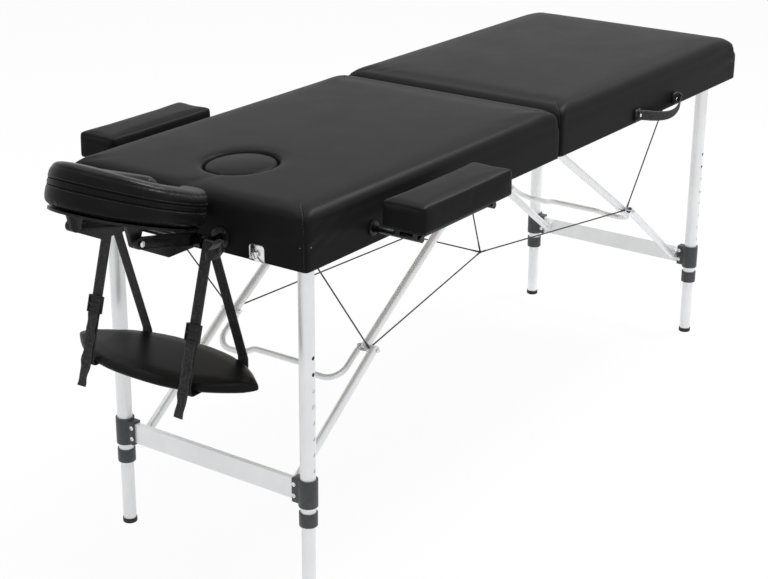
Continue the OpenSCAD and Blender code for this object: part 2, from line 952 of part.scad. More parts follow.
// The bow joins the two knees: flat lugs, two corners and a raised middle
lug_t = 3.5;
bow_corner = 40;
bow_dip_turn = 38;
bow_dip_r = 24;
bow_slope_l = 12;
bow_y = upper_y - brace_r - hinge_gap / 2 - lug_t / 2;
bow_leg = bow_reach - bow_corner;
bow_shoulder = 26;
bow_dip_y = 2 * bow_dip_r * sin(bow_dip_turn) + bow_slope_l * cos(bow_dip_turn);
bow_middle = bow_y - bow_corner - bow_shoulder - bow_dip_y;

module bow(side) {
    color("#d8d9db") half(side) translate([knee[0], 0, knee[1]])
        rotate([0, -atan2(knee[1] - upper_pivot[1], knee[0] - upper_pivot[0]), 0]) both_sides() {
            translate([bow_d, bow_y, 0]) bent_rod(bow_d / 2, [
                [bow_leg - bow_d, bow_corner, -90],
                [bow_shoulder, bow_dip_r, -bow_dip_turn],
                [bow_slope_l, bow_dip_r, bow_dip_turn],
                [bow_middle, 0, 0]]);
            difference() {
                plate_y(bow_y - lug_t / 2, bow_y + lug_t / 2)
                    slot_plan([0, 0], [bow_d + bow_d / 2, 0], bow_d / 2);
                rod_y(bolt_r + run_gap, 0, 2 * bow_y);
            }
        }
}

module head_bow() {
    bow(-1);
}

module foot_bow() {
    bow(1);
}

// The knee bolt in its two halves: head and upper tube, then lower tube and nut
knee_gap = brace_step - brace_d;
nut_r = bolt_r + bolt_head_t / 2;

module knee_bolts(side) {
    color("silver") half(side) both_sides() translate([knee[0], 0, knee[1]]) {
        y1 = bow_y - lug_t / 2;
        rod_y(bolt_r, y1, upper_y + brace_r + knee_gap / 2 - part_gap / 4);
        rod_y(nut_r, y1 - bolt_head_t, y1);
    }
}

module knee_nuts(side) {
    color("silver") half(side) both_sides() translate([knee[0], 0, knee[1]]) {
        y2 = lower_y + brace_r;
        rod_y(bolt_r, lower_y - brace_r - knee_gap / 2 + part_gap / 4, y2 + bolt_head_t);
        translate([0, y2, 0]) rotate([-90, 0, 0]) cylinder(r = nut_r, h = bolt_head_t, $fn = 6);
    }
}

module head_knee_bolts() {
    knee_bolts(-1);
}

module foot_knee_bolts() {
    knee_bolts(1);
}

module head_knee_nuts() {
    knee_nuts(-1);
}

module foot_knee_nuts() {
    knee_nuts(1);
}

// Steel cables: from each knee to the panel beside the leg and to the middle of the net

cable_r = cable_d / 2;
ferrule_wall = 1.4;
ferrule_r = cable_r + ferrule_wall;
ferrule_l = 26;
eye_l = 24;
screw_eye_l = 14;
net_y = 100;
net_z = 446;
root_y = 45;
cable_y = (upper_y + lower_y) / 2;
cable_end_in = 26;
cable_end_x = leg_x - cable_end_in;

// A cable from the eye at a knee to a fixing: the flat eye on the bolt, the cable and its sleeves
module knee_cable(p, y, q) {
    half_t = (knee_gap - part_gap) / 2;
    flat = [q[0] - p[0], q[2] - p[1]];
    start = p + eye_l * flat / norm(flat);
    from = [start[0], y, start[1]];
    d = (q - from) / norm(q - from);
    plate_y(y - half_t, y + half_t) difference() {
        slot_plan(p, start, bolt_r + cable_d);
        translate(p) circle(bolt_r + slide_gap);
    }
    rod_between(from, q, cable_r);
    rod_between(from, from + ferrule_l * d, ferrule_r);
    rod_between(q - (eye_l + ferrule_l) * d, q - eye_l * d, ferrule_r);
}

// A screw eye under the panel, that a cable end reaches
module screw_eye(p, top) {
    rod_between(p, [p[0], p[1], top], ferrule_r);
    translate(p) sphere(ferrule_r);
}

module brace_cables() {
    anchor = [cable_end_x, cable_y, deck_z - screw_eye_l];
    ring = [0, net_y, net_z];
    root = [-frame_x0 - rail_t / 2, root_y, under_z - screw_eye_l];
    color("#2b2b2b") for (side = [-1, 1]) half(side) both_sides() {
        for (end = [anchor, ring]) knee_cable(knee, cable_y, end);
        screw_eye(anchor, deck_z);
    }
    color("#2b2b2b") half(1) {
        rod_between([0, -net_y, net_z], ring, cable_r);
        both_sides() {
            rod_between(ring, root, cable_r);
            translate(ring) sphere(ferrule_r);
            screw_eye(root, under_z);
        }
    }
}

// Face cradle: two posts in blocks, two swing arms, and the platform on their far ends

block_l = 34;
arm_wall = 3;
block_t = 2 * (post_r + arm_wall);
swing_arm_t = 10;
swing_arm_y = post_y - block_t / 2 - part_gap - swing_arm_t;
tilt_in = 54;
tilt_x = cradle_x + tilt_in;
tilt_up = 33;
tilt_z = swing_z + tilt_up;
arm_end_r = 11;
post_l = 120;
bar_r = 4;
strap_y = post_y + block_t / 2 + strap_w / 2 + hinge_gap;
bar_y1 = strap_y + strap_w / 2 + 2 * hinge_gap;

// The cam lever on the near end of the clamping rod
lever_l = 52;
lever_t = 22;
lever_r = 9;
lever_pin_r = 2;
lever_pin = [swing_x, -bar_y1 - lever_r - part_gap, swing_z];

module cradle_posts() {
    color("silver") half(-1) {
        both_sides() {
            translate([0, post_y, post_z]) rod_x(post_r, half_l - post_l, swing_x - bar_r);
            plate_y(post_y - block_t / 2, post_y + block_t / 2) {
                translate([swing_x, swing_z]) circle(block_t / 2 + arm_wall);
                polygon([
                    [swing_x - block_l, post_z - block_t / 2], [swing_x, swing_z - block_t / 2],
                    [swing_x, swing_z + block_t / 2], [swing_x - block_l, post_z + block_t / 2]]);
            }
        }
        translate([swing_x, 0, swing_z]) {
            rod_y(bar_r, lever_pin[1] - bar_r, bar_y1);
            rod_y(bar_r + bolt_head_t / 2, bar_y1, bar_y1 + bolt_head_t);
        }
        translate(lever_pin) rotate([0, -90, 0]) rod_x(lever_pin_r, -lever_t / 2, lever_t / 2);
    }
}

module swing_arm_plan() {
    translate([swing_x, swing_z]) circle(arm_end_r + arm_wall);
    translate([tilt_x, tilt_z]) circle(arm_end_r);
    polygon([
        [swing_x, swing_z + arm_end_r + arm_wall], [tilt_x, tilt_z + arm_end_r],
        [tilt_x, tilt_z - arm_end_r], [(tilt_x + swing_x) / 2, swing_z - arm_end_r - arm_wall],
        [swing_x, swing_z - arm_end_r - arm_wall]]);
}

rib_t = 2;
rib_shares = [0.3, 0.4, 0.5];

module cradle_arms() {
    arm_run = tilt_x - swing_x;
    color("#222224") half(-1) both_sides() difference() {
        union() {
            plate_y(swing_arm_y, swing_arm_y + swing_arm_t - rib_t) swing_arm_plan();
            plate_y(swing_arm_y, swing_arm_y + swing_arm_t) {
                difference() {
                    swing_arm_plan();
                    slot_plan([swing_x + rib_t, swing_z], [tilt_x, tilt_z], arm_end_r - rib_t);
                }
                translate([swing_x, swing_z]) circle(arm_end_r);
                translate([tilt_x, tilt_z]) circle(arm_end_r - rib_t / 2);
                for (t = rib_shares) translate([swing_x + arm_run * t, swing_z - arm_end_r])
                    square([rib_t, 2 * arm_end_r]);
            }
        }
        translate([swing_x, 0, swing_z]) rod_y(bar_r + run_gap, 0, bar_y1);
        translate([tilt_x, 0, tilt_z]) rod_y(bolt_r + run_gap, 0, bar_y1);
    }
}

// Cushion and platform: a ring that is open towards the table, sloping up to the head end

cradle_r = cradle_ring_w / 2;
ring_steps = 30;
slice_steps = 16;
ring_open = 32;
ring_power = 2.3;

// The middle line of the ring, as a full oval, at an angle from the table end
function ring_x(a) = -(cradle_l / 2 - cradle_r) * sign(cos(a)) * pow(abs(cos(a)), 2 / ring_power);
function ring_y(a) = (cradle_w / 2 - cradle_r) * sign(sin(a)) * pow(abs(sin(a)), 2 / ring_power);
function ring_angle(i) = ring_open + (360 - 2 * ring_open) * i / ring_steps;

// Direction across the ring at an angle, by the slope of the middle line
function ring_out(a) = let (
    d = [ring_x(a + 1) - ring_x(a - 1), ring_y(a + 1) - ring_y(a - 1)])
    [d[1], -d[0]] / norm(d);

function ring_h(a) = cradle_h + cradle_rise * (1 - cos(a)) / 2;

// A slice of the ring: flat below, crowned above, its walls drawn in at the seam
seam_draw = 2;
function slice(a, share) = let (o = ring_out(a))
    [for (i = [0:slice_steps - 1]) let (
        t = -360 * (i + 1 / 2) / slice_steps,
        w = sign(cos(t)) * pow(abs(cos(t)), 1 / 2),
        h = sign(sin(t)) * pow(abs(sin(t)), sin(t) < 0 ? 1 / 3 : 2 / 3),
        pull = abs(h) < 1 / 2 ? seam_draw : 0,
        across = (cradle_r * share - pull) * w)
        [ring_x(a) + across * o[0], ring_y(a) + across * o[1], ring_h(a) * (1 + h * share) / 2]];

module on_slope() {
    half(-1) translate([cradle_x, 0, cradle_z]) rotate([0, -cradle_slope, 0]) children();
}

// The two ends of the ring are rounded off by slices that get smaller
end_shares = [0.45, 0.8];
end_angle = 7;

module cradle_cushion() {
    color("#1c1c1e") on_slope() rings_solid(concat(
        [for (k = [0:1]) slice(ring_open - end_angle * (2 - k), end_shares[k])],
        [for (i = [0:ring_steps]) slice(ring_angle(i), 1)],
        [for (k = [1:-1:0]) slice(360 - ring_open + end_angle * (2 - k), end_shares[k])]));
}

// The platform follows the ring and carries the lugs of the tilt pivot
platform_in = 10;
lug_y = swing_arm_y - part_gap - swing_arm_t;
function ring_side(a, out) = [ring_x(a), ring_y(a)] + out * ring_out(a);

module cradle_platform() {
    color("#222224") {
        on_slope() translate([0, 0, -platform_t - soft_gap]) linear_extrude(platform_t)
            polygon(concat(
                [for (i = [0:ring_steps]) ring_side(ring_angle(i), cradle_r - platform_in)],
                [for (i = [ring_steps:-1:0]) ring_side(ring_angle(i), platform_in - cradle_r)]));
        half(-1) both_sides() difference() {
            plate_y(lug_y, lug_y + swing_arm_t) {
                translate([tilt_x, tilt_z]) circle(arm_end_r);
                polygon([
                    [tilt_x - arm_end_r, tilt_z], [tilt_x + arm_end_r, tilt_z],
                    [tilt_x + 2 * arm_end_r, plate_low_z(tilt_x + 2 * arm_end_r)],
                    [tilt_x - 2 * arm_end_r, plate_low_z(tilt_x - 2 * arm_end_r)]]);
            }
            translate([tilt_x, 0, tilt_z]) rod_y(bolt_r, 0, lug_y + over);
        }
        half(-1) both_sides() translate([tilt_x, 0, tilt_z]) {
            rod_y(bolt_r, lug_y, swing_arm_y + swing_arm_t + bolt_head_t);
            rod_y(bolt_r + bolt_head_t / 2, swing_arm_y + swing_arm_t + part_gap / 2,
                swing_arm_y + swing_arm_t + bolt_head_t);
        }
    }
}

// Height of the middle of the platform's thickness at a distance from the middle hinge
function plate_low_z(x) = cradle_z - soft_gap - platform_t / 2 + (x - cradle_x) * tan(cradle_slope);

module cradle_lever() {
    color("#222224") half(-1) translate(lever_pin) rotate([0, -90, 0]) difference() {
        union() {
            rod_x(lever_r, -lever_t / 2, lever_t / 2);
            translate([-lever_t / 2, 0, 0]) rotate([90, 0, 90]) linear_extrude(lever_t) polygon([
                [-lever_r, 0], [lever_r, 0], [0, -lever_l / 2], [-lever_r, -lever_l],
                [-lever_r - lever_t / 2, -lever_l], [-lever_t, -lever_l / 2]]);
        }
        rod_x(lever_pin_r + run_gap, -lever_t, lever_t);
        translate([-bar_r - part_gap, -lever_r - over, -lever_r - over])
            cube([2 * (bar_r + part_gap), 2 * (lever_r + over), 2 * (lever_r + over)]);
    }
}

// Sling shelf: a padded board with pointed ends, hung on four bands of webbing

shelf_steps = 14;
shelf_power = 2.8;
function shelf_half(y) = shelf_l / 2 * (1 - pow(abs(2 * y / shelf_w), shelf_power));

// The outline shrinks towards its upper and lower face; a share of the whole plan
function shelf_ring(share, z) = concat(
    [for (i = [0:shelf_steps]) let (y = -shelf_w / 2 * cos(180 * i / shelf_steps) * share)
        [max(shelf_half(y) - shelf_l / 2 * (1 - share), strap_t), y, z]],
    [for (i = [0:shelf_steps]) let (y = shelf_w / 2 * cos(180 * i / shelf_steps) * share)
        [-max(shelf_half(y) - shelf_l / 2 * (1 - share), strap_t), y, z]]);

shelf_shares = [0.8, 0.95, 1, 0.96, 0.84, 0.55];
shelf_height_shares = [0, 0.16, 0.4, 0.7, 0.9, 1];

module sling_shelf() {
    color("#1c1c1e") half(-1) translate([shelf_x, 0, shelf_z - shelf_t / 2])
        rings_solid([for (k = [0:len(shelf_shares) - 1])
            shelf_ring(shelf_shares[k], shelf_t * shelf_height_shares[k])]);
}

strap_edge = shelf_half(strap_y - strap_w / 2) + soft_gap;
strap_low_z = shelf_z - shelf_t / 2 - soft_gap - strap_t;
buckle_drop = 150;
tail_drop = 60;

// A flat band from its upper to its lower end in x and z, its thickness on the near side of x
module band(p, q) {
    d = q - p;
    translate([p[0], -strap_w / 2, p[1]]) rotate([0, -atan2(d[1], d[0]), 0])
        translate([0, 0, -strap_t]) cube([norm(d), strap_w, strap_t]);
}

// Upper and lower ends of the front band, on its outer face
strap_top_r = bar_r + soft_gap;
front_top = [swing_x + strap_top_r + strap_t, swing_z];
front_low = [shelf_x + strap_edge + strap_t, shelf_z + shelf_t / 3];
front_dir = (front_low - front_top) / norm(front_low - front_top);
tail_off = 2 * strap_t * [-front_dir[1], front_dir[0]];

// The loop of one band round the clamping rod and the shelf, grown by its thickness
module loop_plan(grow) {
    low_z = strap_low_z + strap_t - grow;
    translate([swing_x, swing_z]) circle(strap_top_r + grow);
    polygon([
        [swing_x - strap_top_r - grow, swing_z], [swing_x + strap_top_r + grow, swing_z],
        [shelf_x + strap_edge + grow, front_low[1]], [shelf_x + strap_edge + grow, low_z],
        [shelf_x - strap_edge - grow, low_z], [shelf_x - strap_edge - grow, front_low[1]]]);
}

module sling_straps() {
    color("#1f1f21") half(-1) both_sides() {
        plate_y(strap_y - strap_w / 2, strap_y + strap_w / 2) difference() {
            loop_plan(strap_t);
            loop_plan(0);
        }
        translate([0, strap_y, 0]) band(front_top + tail_off + buckle_drop * front_dir,
            front_low + tail_off + tail_drop * front_dir);
    }
}

// Ladder buckles round the two layers of the front bands
buckle_l = 34;
buckle_wall = 3;

module strap_buckles() {
    inside_w = strap_w + 2 * soft_gap;
    outside_w = inside_w + 2 * buckle_wall;
    color("#1f1f21") half(-1) both_sides() translate([front_top[0], strap_y, front_top[1]])
        rotate([0, -atan2(front_dir[1], front_dir[0]), 0])
        translate([buckle_drop, 0, 0]) difference() {
            translate([0, -outside_w / 2, -2 * strap_t])
                cube([buckle_l, outside_w, 3 * buckle_wall + strap_t]);
            translate([-over, -inside_w / 2, -strap_t - soft_gap - slide_gap])
                cube([buckle_l + 2 * over, inside_w, 3 * strap_t + 2 * soft_gap]);
            for (k = [0:1]) translate([buckle_wall + k * buckle_l / 2, -inside_w / 2, 0])
                cube([buckle_l / 2 - 2 * buckle_wall, inside_w, 4 * buckle_wall]);
        }
}

// Armrests: a pad on a flat bar that two posts carry

pad_y0 = side_y + pad_gap;
pad_z = under_z + pad_up;
pad_corner = 22;
pad_roll = 16;

module arm_pad(across) {
    color("#1c1c1e") half(-1) on_side(across) translate([0, pad_y0 + pad_w / 2, soft_gap])
        padded_block(pad_x, pad_x + pad_l, pad_w / 2, pad_corner, pad_z, pad_z + pad_t - soft_gap,
            pad_roll, crown, skirt_draw, pad_z + pad_t / 4);
}

module arm_posts(across) {
    color("silver") half(-1) on_side(across) {
        for (x = arm_post_x) translate([x, 0, arm_post_z])
            rod_y(arm_post_r, side_y - arm_sleeve_l, pad_y0 + pad_w * 3 / 4);
        for (y = [pad_y0 + pad_w / 4, pad_y0 + pad_w * 3 / 4 - arm_rail_t])
            translate([arm_post_x[0] - arm_rail_t, y - arm_rail_t / 2, arm_post_z])
            cube([arm_post_x[1] - arm_post_x[0] + 2 * arm_rail_t, arm_rail_t, pad_z - arm_post_z]);
    }
}

module near_arm_pad() {
    arm_pad(-1);
}

module far_arm_pad() {
    arm_pad(1);
}

module near_arm_posts() {
    arm_posts(-1);
}

module far_arm_posts() {
    arm_posts(1);
}

head_deck();
head_rails();
head_cushion();
head_pivots();
head_hinges();
panel_sockets();
latch_studs();
brace_cables();
face_plug();
foot_deck();
foot_rails();
foot_cushion();
foot_pivots();
foot_hinges();
carry_handle();
handle_rivets();
latch_bases();
near_latch_hook();
far_latch_hook();
head_leg_tubes();
head_crossbar();
head_leg_clamps();
foot_leg_tubes();
foot_crossbar();
foot_leg_clamps();
head_near_inner_leg();
head_far_inner_leg();
foot_near_inner_leg();
foot_far_inner_leg();
head_near_rubber_foot();
head_far_rubber_foot();
foot_near_rubber_foot();
foot_far_rubber_foot();
head_near_snap_clip();
head_far_snap_clip();
foot_near_snap_clip();
foot_far_snap_clip();
head_upper_braces();
head_bow();
head_knee_bolts();
head_lower_braces();
head_knee_nuts();
foot_upper_braces();
foot_bow();
foot_knee_bolts();
foot_lower_braces();
foot_knee_nuts();
cradle_posts();
cradle_arms();
cradle_platform();
cradle_cushion();
cradle_lever();
sling_shelf();
sling_straps();
strap_buckles();
near_arm_pad();
near_arm_posts();
far_arm_pad();
far_arm_posts();
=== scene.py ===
"""A folding massage table: soft goods, webbing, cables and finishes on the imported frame."""

import json
import math

import bmesh
import bpy
import numpy as np
from mathutils import Matrix, Vector
from mathutils.bvhtree import BVHTree

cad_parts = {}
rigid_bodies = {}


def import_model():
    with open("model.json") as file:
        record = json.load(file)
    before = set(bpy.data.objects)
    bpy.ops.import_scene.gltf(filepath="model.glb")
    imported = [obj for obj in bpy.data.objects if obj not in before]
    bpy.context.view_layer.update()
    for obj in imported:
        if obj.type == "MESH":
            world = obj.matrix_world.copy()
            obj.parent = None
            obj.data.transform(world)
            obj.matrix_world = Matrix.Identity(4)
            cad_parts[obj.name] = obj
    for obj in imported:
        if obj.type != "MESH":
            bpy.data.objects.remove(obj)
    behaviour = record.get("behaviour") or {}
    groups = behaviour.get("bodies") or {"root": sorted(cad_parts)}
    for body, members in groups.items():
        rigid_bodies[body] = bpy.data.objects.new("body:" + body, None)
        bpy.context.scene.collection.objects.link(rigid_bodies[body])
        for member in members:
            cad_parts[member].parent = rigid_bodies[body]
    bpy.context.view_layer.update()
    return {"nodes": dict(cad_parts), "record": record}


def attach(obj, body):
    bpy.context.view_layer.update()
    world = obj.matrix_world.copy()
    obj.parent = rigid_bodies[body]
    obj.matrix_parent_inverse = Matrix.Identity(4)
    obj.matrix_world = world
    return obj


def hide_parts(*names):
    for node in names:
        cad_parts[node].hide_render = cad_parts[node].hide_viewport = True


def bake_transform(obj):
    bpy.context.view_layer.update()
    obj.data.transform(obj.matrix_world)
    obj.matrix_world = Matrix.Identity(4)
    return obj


MM = 0.001
HINGE_X = 0.147011  # the middle hinge, along the table

# Camera of the photograph

CAMERA_AT = (-3.0881, -2.1007, 1.8029)
YAW, PITCH, ROLL = 0.9576, 0.3654, 0.0068
LENS_MM, SENSOR_MM = 80.36, 36


def new_object(name, data):
    obj = bpy.data.objects.new(name, data)
    bpy.context.scene.collection.objects.link(obj)
    return obj


def make_camera():
    level_way = Vector((math.sin(YAW), math.cos(YAW), 0))
    ahead = level_way * math.cos(PITCH) - Vector((0, 0, math.sin(PITCH)))
    level = Vector((math.cos(YAW), -math.sin(YAW), 0))
    upright = level.cross(ahead)
    right = math.cos(ROLL) * level + math.sin(ROLL) * upright
    up = math.cos(ROLL) * upright - math.sin(ROLL) * level
    lens = bpy.data.cameras.new("camera")
    lens.lens, lens.sensor_width = LENS_MM, SENSOR_MM
    lens.clip_start, lens.clip_end = 0.1, 60
    camera = new_object("camera", lens)
    turn = Matrix((right, up, -ahead)).transposed()
    camera.matrix_world = Matrix.Translation(CAMERA_AT) @ turn.to_4x4()
    bpy.context.scene.camera = camera


for leftover in list(bpy.data.objects):
    bpy.data.objects.remove(leftover)
make_camera()
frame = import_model()
nodes = frame["nodes"]


# Places: millimetres from the middle hinge outward along one half, as in the part's source

HEAD, FOOT = -1, 1
NEAR, FAR = -1, 1


def at(side, x, y, z):
    return Vector((HINGE_X + side * x * MM, y * MM, z * MM))


HALF_L, TABLE_W, TOP_Z, UNDER_Z = 925, 605, 831, 713
SIDE_Y = TABLE_W / 2
FOAM_Z, EDGE_R, CORNER_R, CROWN = 778, 26, 16, 4
GAP_X, SKIN_T = 1.5, 2.5
FACE_X, FACE_L, FACE_W, FACE_RIM = 743, 166, 142, 11


# Materials


def add_node(tree, kind, settings=None, **inputs):
    """A node with its settings. An input is a value or another node's output."""
    made = tree.nodes.new(kind)
    for key, value in (settings or {}).items():
        setattr(made, key, value)
    for key, value in inputs.items():
        give(tree, made.inputs[key.replace("_", " ")], value)
    return made


def give(tree, socket, value):
    if isinstance(value, bpy.types.NodeSocket):
        tree.links.new(value, socket)
    else:
        socket.default_value = value


class Finish:
    """A material with its Principled shader, and short calls that add and join nodes."""

    def __init__(self, name, color, roughness, metallic=0.0, specular=0.5):
        self.material = bpy.data.materials.new(name)
        self.material.use_nodes = True
        self.tree = self.material.node_tree
        self.shader = self.tree.nodes["Principled BSDF"]
        self.shader.inputs["Base Color"].default_value = (*color, 1)
        self.shader.inputs["Roughness"].default_value = roughness
        self.shader.inputs["Metallic"].default_value = metallic
        self.shader.inputs["Specular IOR Level"].default_value = specular
        self.color = color

    def add(self, kind, settings=None, **inputs):
        return add_node(self.tree, "ShaderNode" + kind, settings, **inputs)

    def place(self, scale=(1, 1, 1), turn=(0, 0, 0), uv=False):
        where = self.add("TexCoord").outputs["UV" if uv else "Object"]
        return self.add("Mapping", Vector=where, Scale=scale, Rotation=turn).outputs["Vector"]

    def noise(self, place, scale, detail=2.0, roughness=0.5):
        sizes = dict(Scale=scale, Detail=detail, Roughness=roughness)
        return self.add("TexNoise", Vector=place, **sizes).outputs["Fac"]

    def spread(self, value, low, high, low_to, high_to):
        limits = dict(From_Min=low, From_Max=high, To_Min=low_to, To_Max=high_to)
        return self.add("MapRange", Value=value, **limits).outputs["Result"]

    def maths(self, operation, *values):
        made = self.add("Math", {"operation": operation})
        for socket, value in zip(made.inputs, values):
            give(self.tree, socket, value)
        return made.outputs[0]

    def tint(self, share, other):
        """Mixes the finish's own colour with another."""
        made = self.add("Mix", {"data_type": "RGBA"}, Factor=share)
        inputs = [i for i in made.inputs if i.type == "RGBA"]
        inputs[0].default_value = (*self.color, 1)
        inputs[1].default_value = (*other, 1)
        mixed = next(o for o in made.outputs if o.type == "RGBA")
        self.tree.links.new(mixed, self.shader.inputs["Base Color"])

    def rough(self, value):
        self.tree.links.new(value, self.shader.inputs["Roughness"])

    def bump(self, *layers):
        """Layers of (height, distance in metres, strength), one on top of the other."""
        below = None
        for height, distance, strength in layers:
            made = self.add("Bump", Height=height, Distance=distance, Strength=strength)
            if below:
                self.tree.links.new(below, made.inputs["Normal"])
            below = made.outputs["Normal"]
        self.tree.links.new(below, self.shader.inputs["Normal"])


def vinyl(name, shade=1.0, gloss=0.032, rough=0.42):
    """Upholstery vinyl: a fine leather grain under a soft satin gloss, a little cloudy."""
    black = tuple(c * shade for c in (0.0098, 0.0098, 0.0103))
    f = Finish(name, black, rough, specular=gloss)
    here = f.place()
    cells = f.add("TexVoronoi", {"feature": "F1"}, Vector=here, Scale=560.0)
    grain = cells.outputs["Distance"]
    pores = f.noise(here, 1300.0, 3.0)
    soft = f.noise(here, 5.0, 1.0)
    rubbed = f.noise(here, 11.0, 4.0, 0.55)
    f.tint(f.spread(rubbed, 0.35, 0.8, 0.0, 1.0), tuple(c * 1.25 for c in black))
    f.rough(f.spread(rubbed, 0.3, 0.75, rough - 0.03, rough + 0.03))
    f.bump((soft, 0.002, 0.25), (grain, 0.00010, 0.4), (pores, 0.00004, 0.35))
    return f.material


def aluminium(name, turn=(0, 0, 0)):
    """Satin tube, with fine drawing lines along its local z after the turn."""
    f = Finish(name, (0.87, 0.88, 0.89), 0.38, metallic=0.45)
    along = f.place((1, 1, 0.012), turn)
    lines = f.noise(along, 900.0, 4.0, 0.7)
    cloud = f.noise(f.place(), 14.0, 3.0)
    f.tint(f.spread(cloud, 0.35, 0.75, 0.0, 1.0), (0.80, 0.81, 0.82))
    f.rough(f.spread(lines, 0.3, 0.7, 0.28, 0.46))
    f.bump((lines, 0.00004, 0.5))
    return f.material


def steel(name, color, roughness, scale=160.0):
    f = Finish(name, color, roughness, metallic=1.0)
    here = f.place()
    smudge = f.noise(here, scale, 4.0, 0.6)
    f.tint(f.spread(smudge, 0.4, 0.8, 0.0, 1.0), tuple(c * 0.82 for c in color))
    f.rough(f.spread(smudge, 0.3, 0.7, roughness * 0.7, roughness * 1.5))
    f.bump((smudge, 0.00005, 0.3))
    return f.material


def moulded(name, color, roughness, specular=0.5):
    """Moulded plastic or rubber with a fine spark-eroded grain."""
    f = Finish(name, color, roughness, specular=specular)
    here = f.place()
    grain = f.noise(here, 1400.0, 2.0)
    worn = f.noise(here, 60.0, 4.0, 0.6)
    f.tint(f.spread(worn, 0.45, 0.8, 0.0, 1.0), tuple(c * 1.5 + 0.004 for c in color))
    f.rough(f.spread(worn, 0.3, 0.75, roughness * 0.85, roughness * 1.2))
    f.bump((grain, 0.00008, 0.4))
    return f.material


def timber(name, light, dark, stretch, rings):
    """Sawn wood or plywood: stretched grain with fine fibres."""
    f = Finish(name, light, 0.62, specular=0.35)
    here = f.place(stretch)
    wavy = f.noise(here, rings, 6.0, 0.55)
    fibre = f.noise(f.place(tuple(s * 9 for s in stretch)), rings * 3, 3.0)
    streak = f.maths("FRACT", f.maths("ADD", f.maths("MULTIPLY", wavy, 7.0), fibre))
    f.tint(f.spread(streak, 0.0, 1.0, 0.0, 0.75), dark)
    f.rough(f.spread(fibre, 0.3, 0.7, 0.52, 0.74))
    f.bump((fibre, 0.0003, 0.35), (streak, 0.0001, 0.2))
    return f.material


def woven(name, color, across=14.0, along=700.0):
    """Webbing on its own map, in metres along and 0 to 1 round: worn, flecked twill, with a
    painted highlight along both edges.
    """
    f = Finish(name, color, 0.62, specular=0.22)
    parts = f.add("SeparateXYZ", Vector=f.place(uv=True)).outputs
    along_yarn = f.maths("MULTIPLY", parts["X"], along)
    cords = f.maths("MULTIPLY", parts["Y"], across * 2)
    zigzag = f.maths("PINGPONG", cords, 1.0)
    twill = f.maths("SINE", f.maths("MULTIPLY", f.maths("ADD", along_yarn, zigzag), math.pi))
    yarn = f.maths("SINE", f.maths("MULTIPLY", cords, math.pi))
    height = f.spread(f.maths("MULTIPLY", twill, yarn), -1.0, 1.0, 0.0, 1.0)
    here = f.place()
    worn = f.noise(here, 170.0, 6.0, 0.8)
    # Both edges of the band are painted lighter: a painted highlight along its edges.
    edge = f.maths("ABSOLUTE", f.maths("COSINE", f.maths("MULTIPLY", parts["Y"], math.tau)))
    edge = f.spread(edge, 0.88, 1.0, 0.0, 0.55)
    fleck = f.spread(worn, 0.42, 0.62, 0.0, 1.0)
    mixed = f.maths("MULTIPLY", f.maths("ADD", height, fleck), 0.5)
    shade = f.maths("ADD", f.maths("MULTIPLY", mixed, fleck), edge)
    f.tint(shade, tuple(c * 5.5 for c in color))
    fuzz = f.noise(here, 1800.0, 2.0)
    f.rough(f.spread(fuzz, 0.3, 0.7, 0.52, 0.75))
    f.bump((worn, 0.0008, 0.5), (height, 0.0005, 1.0), (fuzz, 0.0001, 0.5))
    return f.material


def wire_rope(name):
    """Black coated wire rope: strands that wind round it, on the cable's own map."""
    f = Finish(name, (0.02, 0.02, 0.021), 0.42)
    parts = f.add("SeparateXYZ", Vector=f.place(uv=True)).outputs
    wind = f.maths("ADD", f.maths("MULTIPLY", parts["X"], 240.0), parts["Y"])
    strand = f.maths("ABSOLUTE", f.maths("SINE", f.maths("MULTIPLY", wind, math.tau * 3)))
    # Darker in the grooves between strands and lighter on their crests: painted shade in the
    # grooves.
    f.tint(strand, (0.05, 0.05, 0.052))
    f.rough(f.spread(strand, 0.0, 1.0, 0.6, 0.36))
    f.bump((strand, 0.0003, 0.8))
    return f.material


VINYL = vinyl("black_vinyl")
# The cover's vinyl made a little darker for the corner welts: painted seam shade.
VINYL_SEAM_SHADED = vinyl("black_vinyl_seam_shaded", shade=0.85)
VINYL_SHINY = vinyl("black_vinyl_shiny", shade=0.6, gloss=0.075, rough=0.34)
# Nearly black, sunk along the cradle's middle seams: painted seam shade, a dark line where the
# groove is only shaded.
SEAM_SHADE = moulded("black_painted_seam_shade", (0.0022, 0.0022, 0.0023), 0.8, 0.02)
THREAD = moulded("black_thread", (0.022, 0.022, 0.023), 0.55)
PLYWOOD = timber("plywood_deck", (0.52, 0.475, 0.42), (0.40, 0.36, 0.31), (1, 9, 9), 5.0)
RAIL_WOOD = timber("rail_wood", (0.54, 0.49, 0.43), (0.41, 0.37, 0.31), (1, 12, 12), 8.0)
ZINC = steel("zinc_steel", (0.60, 0.61, 0.63), 0.36)
CHROME = steel("chrome_steel", (0.78, 0.79, 0.80), 0.16, 90.0)
BLACK_PLASTIC = moulded("black_plastic", (0.010, 0.010, 0.011), 0.30, 0.16)
GREY_PLASTIC = moulded("grey_plastic", (0.036, 0.037, 0.040), 0.46)
RUBBER = moulded("foot_rubber", (0.018, 0.018, 0.019), 0.62, 0.35)
WEBBING = woven("webbing", (0.010, 0.010, 0.0105))
CABLE = wire_rope("wire_rope")
POST_STEEL = steel("post_steel", (0.045, 0.046, 0.048), 0.28)
SLOT = {
    "black_vinyl": VINYL,
    "plywood": PLYWOOD,
    "wood": RAIL_WOOD,
    "zinc_steel": ZINC,
    "chrome_steel": CHROME,
    "button_steel": CHROME,
    "black_plastic": BLACK_PLASTIC,
    "grey_plastic": GREY_PLASTIC,
    "black_rubber": RUBBER,
    "cable_black": CABLE,
    "webbing": WEBBING,
    "buckle_plastic": BLACK_PLASTIC,
    "post_steel": POST_STEEL,
    "aluminium_tube": aluminium("aluminium_tube"),
}

